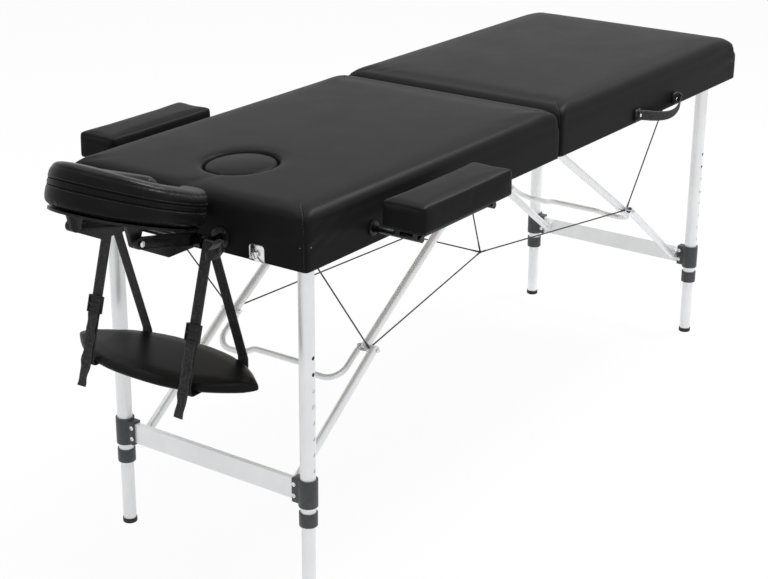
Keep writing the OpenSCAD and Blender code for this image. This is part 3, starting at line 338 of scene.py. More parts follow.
# Tubes that don't stand upright have their drawing lines turned along them
UPPER_TILT, LOWER_TILT = 90 + 33.54, 90 + 53.79
TURNED = {
    "crossbar": (math.radians(90), 0, 0),
    "upper_braces": (0, math.radians(UPPER_TILT), 0),
    "lower_braces": (0, math.radians(LOWER_TILT), 0),
    "bow": (0, math.radians(UPPER_TILT), 0),
}


def dress(obj, material):
    obj.data.materials.clear()
    obj.data.materials.append(material)


def dress_nodes():
    slots = {p["node"]: p["material_slot"] for p in frame["record"]["subparts"]}
    for name, node in nodes.items():
        material = SLOT[slots[name]]
        for ending, turn in TURNED.items():
            if name.endswith(ending):
                mirror = -1 if name.startswith("head") else 1
                turn = (turn[0], mirror * turn[1], turn[2])
                material = aluminium("aluminium_" + name, turn)
        dress(node, material)
    return slots


slots = dress_nodes()
BODY_OF = {
    node: body
    for body, group in frame["record"]["behaviour"]["bodies"].items()
    for node in group
}


# Meshes


def smoothed(piece):
    for face in piece.data.polygons:
        face.use_smooth = True
    return piece


def new_piece(name, points, faces, material=VINYL):
    mesh = bpy.data.meshes.new(name)
    mesh.from_pydata([tuple(p) for p in points], [], faces)
    mesh.update()
    mesh.materials.append(material)
    return smoothed(new_object(name, mesh))


def face_outward(piece, merge=True):
    form = bmesh.new()
    form.from_mesh(piece.data)
    if merge:
        bmesh.ops.remove_doubles(form, verts=form.verts, dist=1e-6)
    bmesh.ops.recalc_face_normals(form, faces=form.faces)
    form.to_mesh(piece.data)
    form.free()
    piece.data.update()
    return piece


def bake_modifiers(piece):
    graph = bpy.context.evaluated_depsgraph_get()
    baked = bpy.data.meshes.new_from_object(
        piece.evaluated_get(graph), preserve_all_data_layers=True, depsgraph=graph
    )
    old = piece.data
    piece.modifiers.clear()
    piece.data = baked
    baked.name = piece.name
    if not old.users:
        bpy.data.meshes.remove(old)
    return piece


def coords(mesh):
    points = np.empty(len(mesh.vertices) * 3, np.float64)
    mesh.vertices.foreach_get("co", points)
    return points.reshape(-1, 3)


def set_coords(mesh, points):
    mesh.vertices.foreach_set("co", np.asarray(points, np.float32).ravel())
    mesh.update()


CORNER_STEPS, SIDE_STEPS = 8, 14


def quarter(steps=8):
    """Cosine and sine at equal steps through a right angle."""
    for i in range(steps + 1):
        a = math.radians(90 * i / steps)
        yield math.cos(a), math.sin(a)


def rounded_outline(x0, x1, y, r, draw=0.0):
    """A rounded rectangle in plan whose sides are drawn in between the corners."""
    centres = [(x1 - r, y - r), (x0 + r, y - r), (x0 + r, r - y), (x1 - r, r - y)]
    line = []
    for q, (cx, cy) in enumerate(centres):
        for i in range(CORNER_STEPS + 1):
            a = math.radians(90 * (q + i / CORNER_STEPS))
            line.append((cx + r * math.cos(a), cy + r * math.sin(a)))
        a = math.radians(90 * (q + 1))
        nx, ny = centres[(q + 1) % 4]
        for i in range(1, SIDE_STEPS):
            t = i / SIDE_STEPS
            out = r - draw * math.sin(math.pi * t)
            x, y_here = cx * (1 - t) + nx * t, cy * (1 - t) + ny * t
            line.append((x + out * math.cos(a), y_here + out * math.sin(a)))
    return line


def joined_rows(count, n):
    """Faces between neighbouring rows of n points each."""
    return [
        (k * n + i, k * n + (i + 1) % n, (k + 1) * n + (i + 1) % n, (k + 1) * n + i)
        for k in range(count - 1)
        for i in range(n)
    ]


def loft(name, side, rings, material=VINYL):
    """A closed form through level rings of equal length: a list of (outline, height)."""
    n = len(rings[0][0])
    points = [at(side, x, y, z) for outline, z in rings for x, y in outline]
    faces = joined_rows(len(rings), n)
    for k in (0, len(rings) - 1):
        outline, z = rings[k]
        middle = np.mean(outline, axis=0)
        points.append(at(side, middle[0], middle[1], z))
        faces += [(len(points) - 1, k * n + i, k * n + (i + 1) % n) for i in range(n)]
    return face_outward(new_piece(name, points, faces, material))


def padded_rings(x0, x1, y, r, z0, z1, roll, rise, draw, low_roll):
    """Rings of an upholstered block: a low roll, drawn sides, a rolled top edge and a crown."""
    edge_z = z1 - rise

    def ring(inset, z, least, pull=0.0):
        plan = (x0 + inset, x1 - inset, y - inset, max(r - inset, least))
        return rounded_outline(*plan, pull), z

    rings = [ring(low_roll * (1 - s), z0 + low_roll * (1 - c), 4) for c, s in quarter(4)]
    wall0, wall1 = z0 + low_roll, edge_z - roll
    for t in (0.25, 0.5, 0.75):
        pull = draw * math.sin(math.pi * t)
        rings.append(ring(0, wall0 + (wall1 - wall0) * t, 0, pull))
    rings += [ring(roll * (1 - c), wall1 + roll * s, 6) for c, s in quarter()]
    cx, hx = (x0 + x1) / 2, (x1 - x0) / 2 - roll
    for t in (0.86, 0.66, 0.42, 0.18):
        outline = rounded_outline(cx - hx * t, cx + hx * t, (y - roll) * t, 6 * t)
        rings.append((outline, edge_z + rise * (1 - t * t)))
    return rings


def softened(name, width):
    """Stands for a rigid node: the same form with its edges rounded off."""
    form = bmesh.new()
    form.from_mesh(nodes[name].data)
    bmesh.ops.remove_doubles(form, verts=form.verts, dist=2e-5)
    flat = math.radians(1)
    bmesh.ops.dissolve_limit(form, angle_limit=flat, verts=form.verts, edges=form.edges)
    mesh = bpy.data.meshes.new(name + "_rounded")
    form.to_mesh(mesh)
    form.free()
    mesh.materials.append(nodes[name].data.materials[0])
    piece = new_object(name + "_rounded", mesh)
    bevel = piece.modifiers.new("rounding", "BEVEL")
    bevel.width, bevel.segments = width * MM, 2
    bevel.limit_method, bevel.angle_limit = "ANGLE", math.radians(38)
    bake_modifiers(piece)
    smoothed(piece).data.set_sharp_from_angle(angle=math.radians(32))
    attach(piece, BODY_OF[name])
    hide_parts(name)


# Filled cloth


PRESSURE, STIFFNESS, EASE_ROUNDS, LAST_FRAME = 4.0, 18.0, 6, 20


def swell(piece, held, voxel, cap):
    """Remeshes a form, swells it as filled cloth, and caps how far each point moves."""
    remesh = piece.modifiers.new("remesh", "REMESH")
    remesh.mode, remesh.voxel_size, remesh.use_smooth_shade = "VOXEL", voxel, True
    bake_modifiers(piece)
    rest = coords(piece.data)
    fixed = held(rest)
    scene = bpy.context.scene
    group = piece.vertex_groups.new(name="held")
    group.add(np.nonzero(fixed)[0].tolist(), 1.0, "REPLACE")
    cloth = piece.modifiers.new("cloth", "CLOTH")
    wanted = cloth.settings
    wanted.quality = 4
    wanted.mass = 0.3
    wanted.tension_stiffness = wanted.compression_stiffness = STIFFNESS
    wanted.shear_stiffness = STIFFNESS / 3
    wanted.bending_stiffness = 1.5
    wanted.use_pressure = True
    wanted.uniform_pressure_force = PRESSURE
    wanted.effector_weights.gravity = 0
    wanted.vertex_group_mass = "held"
    cloth.collision_settings.use_collision = False
    cloth.point_cache.frame_start, cloth.point_cache.frame_end = 1, LAST_FRAME
    for step in range(1, LAST_FRAME + 1):
        scene.frame_set(step)
    graph = bpy.context.evaluated_depsgraph_get()
    moved = coords(piece.evaluated_get(graph).data) - rest
    piece.modifiers.clear()
    piece.vertex_groups.clear()
    scene.frame_set(1)
    far = np.linalg.norm(moved, axis=1)
    moved *= (cap * np.tanh(far / cap) / np.maximum(far, 1e-9))[:, None]
    set_coords(piece.data, rest + eased(piece.data, moved))
    return smoothed(piece)


def eased(mesh, moved):
    """Evens out how far neighbouring points move, which leaves the form itself sharp."""
    pairs = np.empty(len(mesh.edges) * 2, np.int64)
    mesh.edges.foreach_get("vertices", pairs)
    a, b = pairs[0::2], pairs[1::2]
    count = np.maximum(np.bincount(pairs, minlength=len(moved)), 1)[:, None]
    for _ in range(EASE_ROUNDS):
        total = np.zeros_like(moved)
        for axis in range(3):
            total[:, axis] = np.bincount(a, moved[b, axis], len(moved))
            total[:, axis] += np.bincount(b, moved[a, axis], len(moved))
        moved = (moved + total / count) / 2
    return moved


def finer(piece):
    split = piece.modifiers.new("finer", "SUBSURF")
    split.levels = split.render_levels = 1
    return bake_modifiers(piece)


def tree_of(piece):
    form = bmesh.new()
    form.from_mesh(piece.data)
    tree = BVHTree.FromBMesh(form)
    form.free()
    return tree


def seam_groove(piece, line, depth, width):
    """Pulls the surface in along a line of points, as a sewn seam does."""
    points = coords(piece.data)
    normals = np.empty(len(points) * 3)
    piece.data.vertex_normals.foreach_get("vector", normals)
    normals = normals.reshape(-1, 3)
    line = np.asarray(line, float)
    near = np.full(len(points), 1e9)
    for a, b in zip(line[:-1], line[1:]):
        d = b - a
        t = np.clip(((points - a) @ d) / max(d @ d, 1e-12), 0, 1)
        near = np.minimum(near, np.linalg.norm(points - a - t[:, None] * d, axis=1))
    pull = depth * np.exp(-((near / width) ** 2))
    set_coords(piece.data, points - normals * pull[:, None])


# Tubes and bands along a path


def frames_along(path, side):
    """For each point of a path: tangent, and the side direction made square to it."""
    path = [Vector(p) for p in path]
    made = []
    for i, p in enumerate(path):
        ahead = path[min(i + 1, len(path) - 1)] - path[max(i - 1, 0)]
        ahead.normalize()
        across = Vector(side[i] if isinstance(side, list) else side)
        across = (across - ahead * across.dot(ahead)).normalized()
        made.append((p, ahead, across))
    return made


def swept(name, path, side, section, material, closed=False):
    """A section (offsets across and out) swept along a path, with its own map."""
    rows = frames_along(path, side)
    m = len(section)
    points, faces, uvs = [], [], []
    for p, ahead, across in rows:
        out = ahead.cross(across)
        points += [p + across * a + out * o for a, o in section]
    run = [0.0]
    for (p, _, _), (q, _, _) in zip(rows, rows[1:]):
        run.append(run[-1] + (q - p).length)
    count = len(rows)
    for k in range(count - 1 if not closed else count):
        for i in range(m):
            j, n = (i + 1) % m, (k + 1) % count
            faces.append((k * m + i, k * m + j, n * m + j, n * m + i))
            u0, u1 = run[k], run[k + 1] if k + 1 < count else run[k] + 0.001
            v0, v1 = i / m, (i + 1) / m
            uvs += [(u0, v0), (u0, v1), (u1, v1), (u1, v0)]
    if not closed:
        faces += [tuple(range(m)), tuple(range((count - 1) * m, count * m))]
        uvs += [(0, i / m) for i in range(m)] + [(run[-1], i / m) for i in range(m)]
    piece = new_piece(name, points, faces, material)
    layer = piece.data.uv_layers.new(name="UVMap")
    for loop, uv in zip(layer.data, uvs):
        loop.uv = uv
    return face_outward(piece, merge=False)


def round_section(steps):
    turns = [math.tau * i / steps for i in range(steps)]
    return [(math.cos(a), math.sin(a)) for a in turns]


def tube(name, path, radii, material, steps=10):
    """A round tube along a path, with its own radius at each point."""
    piece = swept(name, path, (0.3, 0.5, 1), round_section(steps), material)
    points = coords(piece.data)
    for k, (p, r) in enumerate(zip(path, radii)):
        ring = points[k * steps : (k + 1) * steps]
        points[k * steps : (k + 1) * steps] = np.asarray(p) + (ring - np.asarray(p)) * r
    set_coords(piece.data, points)
    return piece


def band_section(width, thick, steps=12):
    """Flat webbing: rows across on both faces, the edges a little rounded."""
    line = []
    for i in range(steps + 1):
        t = i / steps
        line.append((width * (t - 0.5), thick / 2 * (1 - (2 * t - 1) ** 8)))
    return line + [(a, -o) for a, o in reversed(line[1:-1])]


def resampled(points, step):
    """A smooth path through points, with a point every step or so."""
    points = [Vector(p) for p in points]
    made = []
    for i in range(len(points) - 1):
        p0, p1 = points[max(i - 1, 0)], points[i]
        p2, p3 = points[i + 1], points[min(i + 2, len(points) - 1)]
        n = max(int((p2 - p1).length / step), 1)
        for k in range(n):
            t = k / n
            made.append(
                0.5
                * (
                    2 * p1
                    + (p2 - p0) * t
                    + (2 * p0 - 5 * p1 + 4 * p2 - p3) * t * t
                    + (3 * p1 - p0 - 3 * p2 + p3) * t * t * t
                )
            )
    return made + [points[-1]]


def straight(p, q, step):
    p, q = Vector(p), Vector(q)
    n = max(int((q - p).length / step), 2)
    return [p.lerp(q, i / n) for i in range(n + 1)]


# Things that repeat


def new_tree(name, sizes, material):
    """An empty tree with named inputs, and the sockets that give them."""
    tree = bpy.data.node_groups.new(name, "GeometryNodeTree")
    face = tree.interface
    face.new_socket("Geometry", in_out="INPUT", socket_type="NodeSocketGeometry")
    for size in sizes:
        face.new_socket(size, in_out="INPUT", socket_type="NodeSocketFloat")
    face.new_socket(material, in_out="INPUT", socket_type="NodeSocketMaterial")
    face.new_socket("Geometry", in_out="OUTPUT", socket_type="NodeSocketGeometry")
    return tree, tree.nodes.new("NodeGroupInput").outputs


def put_on_points(tree, points, shape, turn, size, material):
    """Puts a shape on each point, turned and sized, as real mesh in its material."""
    spread = add_node(tree, "GeometryNodeInstanceOnPoints", Points=points, Instance=shape)
    give(tree, spread.inputs["Rotation"], turn)
    give(tree, spread.inputs["Scale"], size)
    copies = spread.outputs["Instances"]
    real = add_node(tree, "GeometryNodeRealizeInstances", Geometry=copies)
    paint = add_node(tree, "GeometryNodeSetMaterial", Material=material)
    give(tree, paint.inputs["Geometry"], real.outputs["Geometry"])
    add_node(tree, "NodeGroupOutput", Geometry=paint.outputs["Geometry"])
    return tree


def stitch_tree():
    """Stitches of thread along a line: spacing, length and thickness are inputs."""
    tree, given = new_tree("stitch_line", ("Spacing", "Length", "Thickness"), "Thread")
    curve = add_node(tree, "GeometryNodeMeshToCurve", Mesh=given["Geometry"])
    spots = add_node(tree, "GeometryNodeCurveToPoints", {"mode": "LENGTH"})
    give(tree, spots.inputs["Curve"], curve.outputs["Curve"])
    give(tree, spots.inputs["Length"], given["Spacing"])
    bead = add_node(tree, "GeometryNodeMeshUVSphere", Segments=6, Rings=5, Radius=0.5)
    thick = given["Thickness"]
    size = add_node(tree, "ShaderNodeCombineXYZ", X=thick, Y=thick, Z=given["Length"])
    points, turn = spots.outputs["Points"], spots.outputs["Rotation"]
    bead, size = bead.outputs["Mesh"], size.outputs["Vector"]
    return put_on_points(tree, points, bead, turn, size, given["Thread"])


STITCHES = stitch_tree()


def run_tree(piece, tree, **inputs):
    """Gives a piece what the tree makes of it, as a plain mesh."""
    made = piece.modifiers.new(tree.name, "NODES")
    made.node_group = tree
    keys = {
        s.name: s.identifier
        for s in tree.interface.items_tree
        if s.item_type == "SOCKET" and s.in_out == "INPUT"
    }
    for name, value in inputs.items():
        made[keys[name]] = value
    return bake_modifiers(piece)


def stitched(name, lines, spacing=5.5, length=3.8, thickness=0.9):
    """Rows of stitches along lines of points, in one piece. Sizes in millimetres."""
    points, edges = [], []
    for line in lines:
        start = len(points)
        points += [tuple(p) for p in line]
        edges += [(i, i + 1) for i in range(start, len(points) - 1)]
    mesh = bpy.data.meshes.new(name)
    mesh.from_pydata(points, edges, [])
    piece = new_object(name, mesh)
    sizes = dict(Spacing=spacing * MM, Length=length * MM, Thickness=thickness * MM)
    run_tree(piece, STITCHES, Thread=THREAD, **sizes)
    return smoothed(piece)


RECESS_WIDTH, RECESS_DEPTH, WASHER_DEPTH = 0.26, 0.9, 0.36  # shares of a screw's radius


def screw_tree():
    """Domed screw heads with a washer and a cross recess, on points that say where they face."""
    sizes = ("Radius", "Height", "Recess", "Washer")
    tree, given = new_tree("screw_heads", sizes, "Metal")
    dome = add_node(tree, "GeometryNodeMeshUVSphere", Segments=20, Rings=10, Radius=1.0)
    cut = add_node(tree, "GeometryNodeMeshBoolean", {"operation": "DIFFERENCE"})
    give(tree, cut.inputs["Mesh 1"], dome.outputs["Mesh"])
    for long, short in (("X", "Y"), ("Y", "X")):
        size = add_node(tree, "ShaderNodeCombineXYZ", Z=RECESS_DEPTH)
        give(tree, size.inputs[long], given["Recess"])
        give(tree, size.inputs[short], RECESS_WIDTH)
        bar = add_node(tree, "GeometryNodeMeshCube", Size=size.outputs["Vector"])
        lift = add_node(tree, "GeometryNodeTransform", Translation=(0, 0, 1.0))
        give(tree, lift.inputs["Geometry"], bar.outputs["Mesh"])
        give(tree, cut.inputs["Mesh 2"], lift.outputs["Geometry"])
    ring = add_node(tree, "GeometryNodeMeshCylinder", Vertices=24, Depth=WASHER_DEPTH)
    give(tree, ring.inputs["Radius"], given["Washer"])
    both = tree.nodes.new("GeometryNodeJoinGeometry")
    for half in (cut, ring):
        give(tree, both.inputs["Geometry"], half.outputs["Mesh"])
    kind = {"data_type": "FLOAT_VECTOR"}
    where = add_node(tree, "GeometryNodeInputNamedAttribute", kind, Name="facing")
    facing = where.outputs["Attribute"]
    turn = add_node(tree, "FunctionNodeAlignRotationToVector", {"axis": "Z"}, Vector=facing)
    wide, high = given["Radius"], given["Height"]
    size = add_node(tree, "ShaderNodeCombineXYZ", X=wide, Y=wide, Z=high)
    head, size = both.outputs["Geometry"], size.outputs["Vector"]
    turned = turn.outputs["Rotation"]
    return put_on_points(tree, given["Geometry"], head, turned, size, given["Metal"])


SCREWS = screw_tree()


def screws(name, body, places, radius, height, metal=CHROME, recess=1.1, washer=1.3):
    """Screw heads on one body. Places are (side, x, y, z, facing); sizes in millimetres."""
    points, ways = [], []
    for side, x, y, z, facing in places:
        points.append(tuple(at(side, x, y, z)))
        ways += [facing[0] * side, facing[1], facing[2]]
    mesh = bpy.data.meshes.new(name)
    mesh.from_pydata(points, [], [])
    facing = mesh.attributes.new("facing", "FLOAT_VECTOR", "POINT")
    facing.data.foreach_set("vector", ways)
    piece = new_object(name, mesh)
    sizes = dict(Radius=radius * MM, Height=height * MM, Recess=recess, Washer=washer)
    run_tree(piece, SCREWS, Metal=metal, **sizes)
    smoothed(piece).data.set_sharp_from_angle(angle=math.radians(40))
    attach(piece, body)


# The two padded halves


def plan_inside(point):
    """The nearest point, in plan, of the wooden frame's outline."""
    x0, x1 = GAP_X + SKIN_T, HALF_L - SKIN_T
    y, r = SIDE_Y - SKIN_T, CORNER_R - SKIN_T
    cx = min(max(point[0], x0 + r), x1 - r)
    cy = min(max(point[1], r - y), y - r)
    d = Vector((point[0] - cx, point[1] - cy))
    if d.length < 1e-6:
        return (cx, cy)
    d.normalize()
    return (cx + d.x * r, cy + d.y * r)


def half_point(side, p):
    return ((p[0] - HINGE_X) * side / MM, p[1] / MM, p[2] / MM)


LOW_SLIM, TOP_SLIM, TOP_CORNER_R = 0.4, 2.0, 30
FOLD_R = 7  # the cover is pulled tight round the lower corners
FOLD_LOW, FOLD_RUN = 8, 24


def fold_r(z):
    """Corner radius in plan at a height: a tight fold below that opens into the roll."""
    t = min(max((z - FOAM_Z + FOLD_LOW) / FOLD_RUN, 0), 1)
    return FOLD_R + (CORNER_R - FOLD_R) * t * t * (3 - 2 * t)


HOLLOW = 1.1  # how far the side draws in under the roll


def top_rings():
    """Rings of a half: a flat band over the wood, a hollow, the roll and the crown."""
    x0, x1, y = GAP_X + LOW_SLIM, HALF_L - LOW_SLIM, SIDE_Y - LOW_SLIM
    edge_z = TOP_Z - CROWN - TOP_SLIM
    wall_z = edge_z - EDGE_R
    rings = [
        (rounded_outline(x0, x1, y, fold_r(z)), z)
        for z in (UNDER_Z - 14, UNDER_Z, UNDER_Z + 22, UNDER_Z + 45, FOAM_Z - 2)
    ]
    for t in (0.3, 0.6, 0.85):
        z = FOAM_Z + (wall_z - FOAM_Z) * t
        drawn = HOLLOW * math.sin(math.pi * t)
        outline = rounded_outline(x0 + drawn / 4, x1 - drawn, y - drawn, fold_r(z))
        rings.append((outline, z))
    for c, s in quarter(10):
        inset = EDGE_R * (1 - c)
        r = CORNER_R + (TOP_CORNER_R - CORNER_R) * s**2
        outline = rounded_outline(x0 + inset, x1 - inset, y - inset, r)
        rings.append((outline, wall_z + EDGE_R * s))
    cx, hx, hy = (x0 + x1) / 2, (x1 - x0) / 2 - EDGE_R, y - EDGE_R
    for t in (0.97, 0.9, 0.78, 0.6, 0.4, 0.2):
        outline = rounded_outline(cx - hx * t, cx + hx * t, hy * t, TOP_CORNER_R * t)
        rings.append((outline, edge_z + CROWN * (1 - t * t)))
    return rings


def top_cushion(name, side):
    piece = loft(name, side, top_rings())
    if side == HEAD:
        cut_face_hole(piece)

    def held(points):
        x = (points[:, 0] - HINGE_X) * side / MM
        y, z = points[:, 1] / MM, points[:, 2] / MM
        band = z < FOAM_Z + 2
        if side == HEAD:
            hole = np.hypot((x - FACE_X) / (FACE_L / 2 + 8), y / (FACE_W / 2 + 8)) < 1
            band |= hole & (z < TOP_Z - 16)
        return band | (x < GAP_X + 2)

    swell(piece, held, voxel=0.006, cap=0.0024)
    shape_half(piece, side)
    hollow(piece, side)
    return piece


DROOP, DROOP_RUN = 9, 120  # the foot end sinks into its roll over this length
TUCK, TUCK_RUN = 5, 60
PUCKER, PUCKER_RUN, PUCKER_FADE = 2.1, 190, 70


def shape_half(piece, side):
    """The foot end droops into its roll, and the cover puckers beside each end corner."""
    points = coords(piece.data)
    x = (points[:, 0] - HINGE_X) * side / MM
    y, z = points[:, 1] / MM, points[:, 2] / MM
    if side == FOOT:
        high = np.clip((z - FOAM_Z) / (TOP_Z - 12 - FOAM_Z), 0, 1)
        end = np.clip((x - HALF_L + DROOP_RUN) / DROOP_RUN, 0, 1)
        last = np.clip((x - HALF_L + TUCK_RUN) / TUCK_RUN, 0, 1)
        points[:, 2] -= DROOP * MM * end**2.2 * high
        points[:, 0] -= side * TUCK * MM * last * high
    window = np.clip((z - UNDER_Z - 22) / 24, 0, 1) * np.clip((TOP_Z - 9 - z) / 22, 0, 1)
    from_side, from_end = SIDE_Y - np.abs(y), HALF_L - x
    for run, depth, axis, sign in (
        (from_end, from_side, 1, np.sign(y)),
        (from_side, from_end, 0, side),
    ):
        on_wall = (depth < 7) & (run > 3) & (run < PUCKER_RUN)
        wave = np.sin((z - 771 + 0.16 * run) * math.tau / 46)
        wave = wave + 0.5 * np.sin((z - 0.42 * run) * math.tau / 27)
        fade = np.exp(-run / PUCKER_FADE) * np.clip(run / 14, 0, 1)
        push = sign * PUCKER * MM * wave * fade * window
        points[:, axis] += np.where(on_wall, push, 0)
    set_coords(piece.data, points)


def corner_lines(side):
    """Up each corner of a half: the line that its sewn corner seam follows."""
    rings = [r for r in top_rings() if UNDER_Z <= r[1]][:-5]
    for q in range(4):
        middle = q * (CORNER_STEPS + SIDE_STEPS) + CORNER_STEPS // 2
        yield [at(side, *outline[middle], z) for outline, z in rings]


WELT_R, WELT_SINK, WELT_TO_STITCH = 0.95, 0.15, 4.5


def corner_seams(name, side, piece, body):
    """The sewn corners: a welt of folded cover, in a darker vinyl as painted seam shade, with its
    row of stitches beside it.
    """
    tree = tree_of(piece)
    welts, rows = [], []
    for line in corner_lines(side):
        near = [tree.find_nearest(p) for p in resampled(line, 0.004)]
        near = [(hit, normal) for hit, normal, _, _ in near if hit.z > (UNDER_Z + 1) * MM]
        welts.append([hit - normal * WELT_SINK * MM for hit, normal in near])
        way = Vector((0, math.copysign(1, near[0][0].y), 0))
        rows.append([hit - way * WELT_TO_STITCH * MM for hit, _ in near])
    for k, line in enumerate(welts):
        radii = [WELT_R * MM] * len(line)
        # The welt's darker vinyl is painted seam shade.
        welt = tube(f"{name}_corner_seam_{k}", line, radii, VINYL_SEAM_SHADED, 8)
        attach(welt, body)
    snapped = [[tree.find_nearest(p)[0] for p in row] for row in rows]
    thread = stitched(name + "_corner_stitches", snapped)
    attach(thread, body)


def oval(rx, ry, steps=72):
    turns = [math.tau * i / steps for i in range(steps)]
    return [(FACE_X + rx * math.cos(a), ry * math.sin(a)) for a in turns]


def cut_face_hole(piece):
    """Cuts the hole with its rolled rim through the foam, down to the deck."""
    rx, ry, edge_z = FACE_L / 2, FACE_W / 2, TOP_Z - FACE_RIM
    rings = [(oval(rx, ry), FOAM_Z), (oval(rx, ry), edge_z - 14)]
    for c, s in quarter():
        out = FACE_RIM * (1 - c)
        rings.append((oval(rx + out, ry + out), edge_z + FACE_RIM * s))
    rings.append((oval(rx + FACE_RIM, ry + FACE_RIM), TOP_Z + 12))
    cutter = loft("face_cutter", HEAD, rings)
    cut = piece.modifiers.new("cut", "BOOLEAN")
    cut.operation, cut.object, cut.solver = "DIFFERENCE", cutter, "EXACT"
    bake_modifiers(piece)
    bpy.data.objects.remove(cutter)


def hollow(piece, side):
    """Opens the underside for the wooden frame: a lip, an inner wall and the foam above."""
    form = bmesh.new()
    form.from_mesh(piece.data)
    bmesh.ops.bisect_plane(
        form,
        geom=form.verts[:] + form.edges[:] + form.faces[:],
        plane_co=(0, 0, UNDER_Z * MM),
        plane_no=(0, 0, 1),
        clear_inner=True,
    )
    border = [e for e in form.edges if e.is_boundary]
    for z in (UNDER_Z, FOAM_Z):
        made = bmesh.ops.extrude_edge_only(form, edges=border)
        border = [g for g in made["geom"] if isinstance(g, bmesh.types.BMEdge)]
        border = [e for e in border if e.is_boundary]
        for v in {v for e in border for v in e.verts}:
            x, y, _ = half_point(side, v.co)
            px, py = plan_inside((x, y))
            v.co = at(side, px, py, z)
    bmesh.ops.remove_doubles(form, verts=form.verts, dist=1e-6)
    border = [e for e in form.edges if e.is_boundary]
    if side == HEAD:
        bmesh.ops.triangle_fill(form, edges=border, use_beauty=True)
    else:
        bmesh.ops.contextual_create(form, geom=border)
        bmesh.ops.triangulate(form, faces=[f for f in form.faces if len(f.verts) > 4])
    bmesh.ops.recalc_face_normals(form, faces=form.faces)
    form.to_mesh(piece.data)
    form.free()
    smoothed(piece).data.update()


for name, side, body in (("head", HEAD, "head_panel"), ("foot", FOOT, "foot_panel")):
    piece = top_cushion(name + "_top", side)
    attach(piece, body)
    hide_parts(name + "_cushion")
    corner_seams(name, side, piece, body)


# The plug of the face hole


PLUG_GAP, PLUG_ROLL = 2.5, 10


def face_plug():
    rx, ry = FACE_L / 2 - PLUG_GAP, FACE_W / 2 - PLUG_GAP
    z0, edge_z = FOAM_Z + 1, TOP_Z - CROWN - 1
    rings = [(oval(rx - 4, ry - 4), z0), (oval(rx, ry), z0 + 4)]
    for c, s in quarter():
        inset = PLUG_ROLL * (1 - c)
        rings.append((oval(rx - inset, ry - inset), edge_z - PLUG_ROLL + PLUG_ROLL * s))
    for t in (0.8, 0.5, 0.2):
        outline = oval((rx - PLUG_ROLL) * t, (ry - PLUG_ROLL) * t)
        rings.append((outline, edge_z + CROWN * (1 - t * t)))
    piece = loft("plug_cushion", HEAD, rings)
    swell(piece, lambda p: p[:, 2] < (FOAM_Z + 6) * MM, voxel=0.004, cap=0.0018)
    return finer(piece)


plug = face_plug()
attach(plug, "face_plug")
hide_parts("face_plug")


# Arm pads

PAD_X, PAD_L, PAD_W, PAD_T = 429, 323, 101, 59.5
PAD_GAP, PAD_LIFT = 38.5, 49
PAD_Y, PAD_Z = SIDE_Y + PAD_GAP + PAD_W / 2, UNDER_Z + PAD_LIFT
PAD_HEM = 6.5  # how high the stitches run over the underside


PAD_SLIM, PAD_CORNER_R, PAD_ROLL, PAD_CROWN, PAD_DRAW, PAD_LOW_ROLL = 1.6, 9, 6.5, 2.5, 1.6, 3


def arm_pad(name, across):
    x0, x1, y = PAD_X + PAD_SLIM, PAD_X + PAD_L - PAD_SLIM, PAD_W / 2 - PAD_SLIM
    z0, z1 = PAD_Z + 0.6, PAD_Z + PAD_T - PAD_SLIM
    shape = (PAD_ROLL, PAD_CROWN, PAD_DRAW, PAD_LOW_ROLL)
    rings = padded_rings(x0, x1, y, PAD_CORNER_R, z0, z1, *shape)
    shifted = [([(x, y + across * PAD_Y) for x, y in o], z) for o, z in rings]
    piece = loft(name, HEAD, shifted)
    swell(piece, lambda p: p[:, 2] < (PAD_Z + 4) * MM, voxel=0.0045, cap=0.0022)
    finer(piece)
    pad_lips(piece, across)
    return piece


LIP, CREASE, CREASE_REACH = 11, 2.6, 2.6


def pad_lips(piece, across):
    """At each end the cover is folded under its top: a lip, a crease and a soft swell."""
    points = coords(piece.data)
    x = (points[:, 0] - HINGE_X) * HEAD / MM
    y, z = points[:, 1] / MM - across * PAD_Y, points[:, 2] / MM - PAD_Z
    for end, sign in ((PAD_X, -1), (PAD_X + PAD_L, 1)):
        wall = np.clip(1 - np.abs(x - end) / 9, 0, 1) ** 0.5
        spread = np.clip((PAD_W / 2 - 4 - np.abs(y)) / 12, 0, 1)
        drop = PAD_T - LIP - z + 2.5 * np.cos(y / PAD_W * math.pi)
        crease = np.exp(-(((drop - 10) / 7) ** 2)) - CREASE * np.exp(-((drop / CREASE_REACH) ** 2))
        points[:, 0] += HEAD * sign * MM * crease * wall * spread
    set_coords(piece.data, points)


def rim_line(piece_tree, outline, z):
    """Points of a piece's side at a height, found by looking at it from outside."""
    line = []
    middle = at(HEAD, *np.mean(outline, axis=0), z)
    for x, y in outline + outline[:1]:
        way = (at(HEAD, x, y, z) - middle).normalized()
        hit = piece_tree.ray_cast(at(HEAD, x, y, z) + way * 0.05, -way)[0]
        if hit:
            line.append(hit)
    return line


for name, across in (("near", NEAR), ("far", FAR)):
    piece = arm_pad(name + "_arm_cushion", across)
    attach(piece, name + "_arm")
    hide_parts(name + "_arm_pad")
    plan = rounded_outline(PAD_X + 2, PAD_X + PAD_L - 2, PAD_W / 2 - 2, 12)
    plan = [(x, y + across * PAD_Y) for x, y in plan]
    hem = rim_line(tree_of(piece), plan, PAD_Z + PAD_HEM)
    thread = stitched(name + "_arm_stitches", [hem])
    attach(thread, name + "_arm")


# Face cradle cushion, a ring that is open towards the table

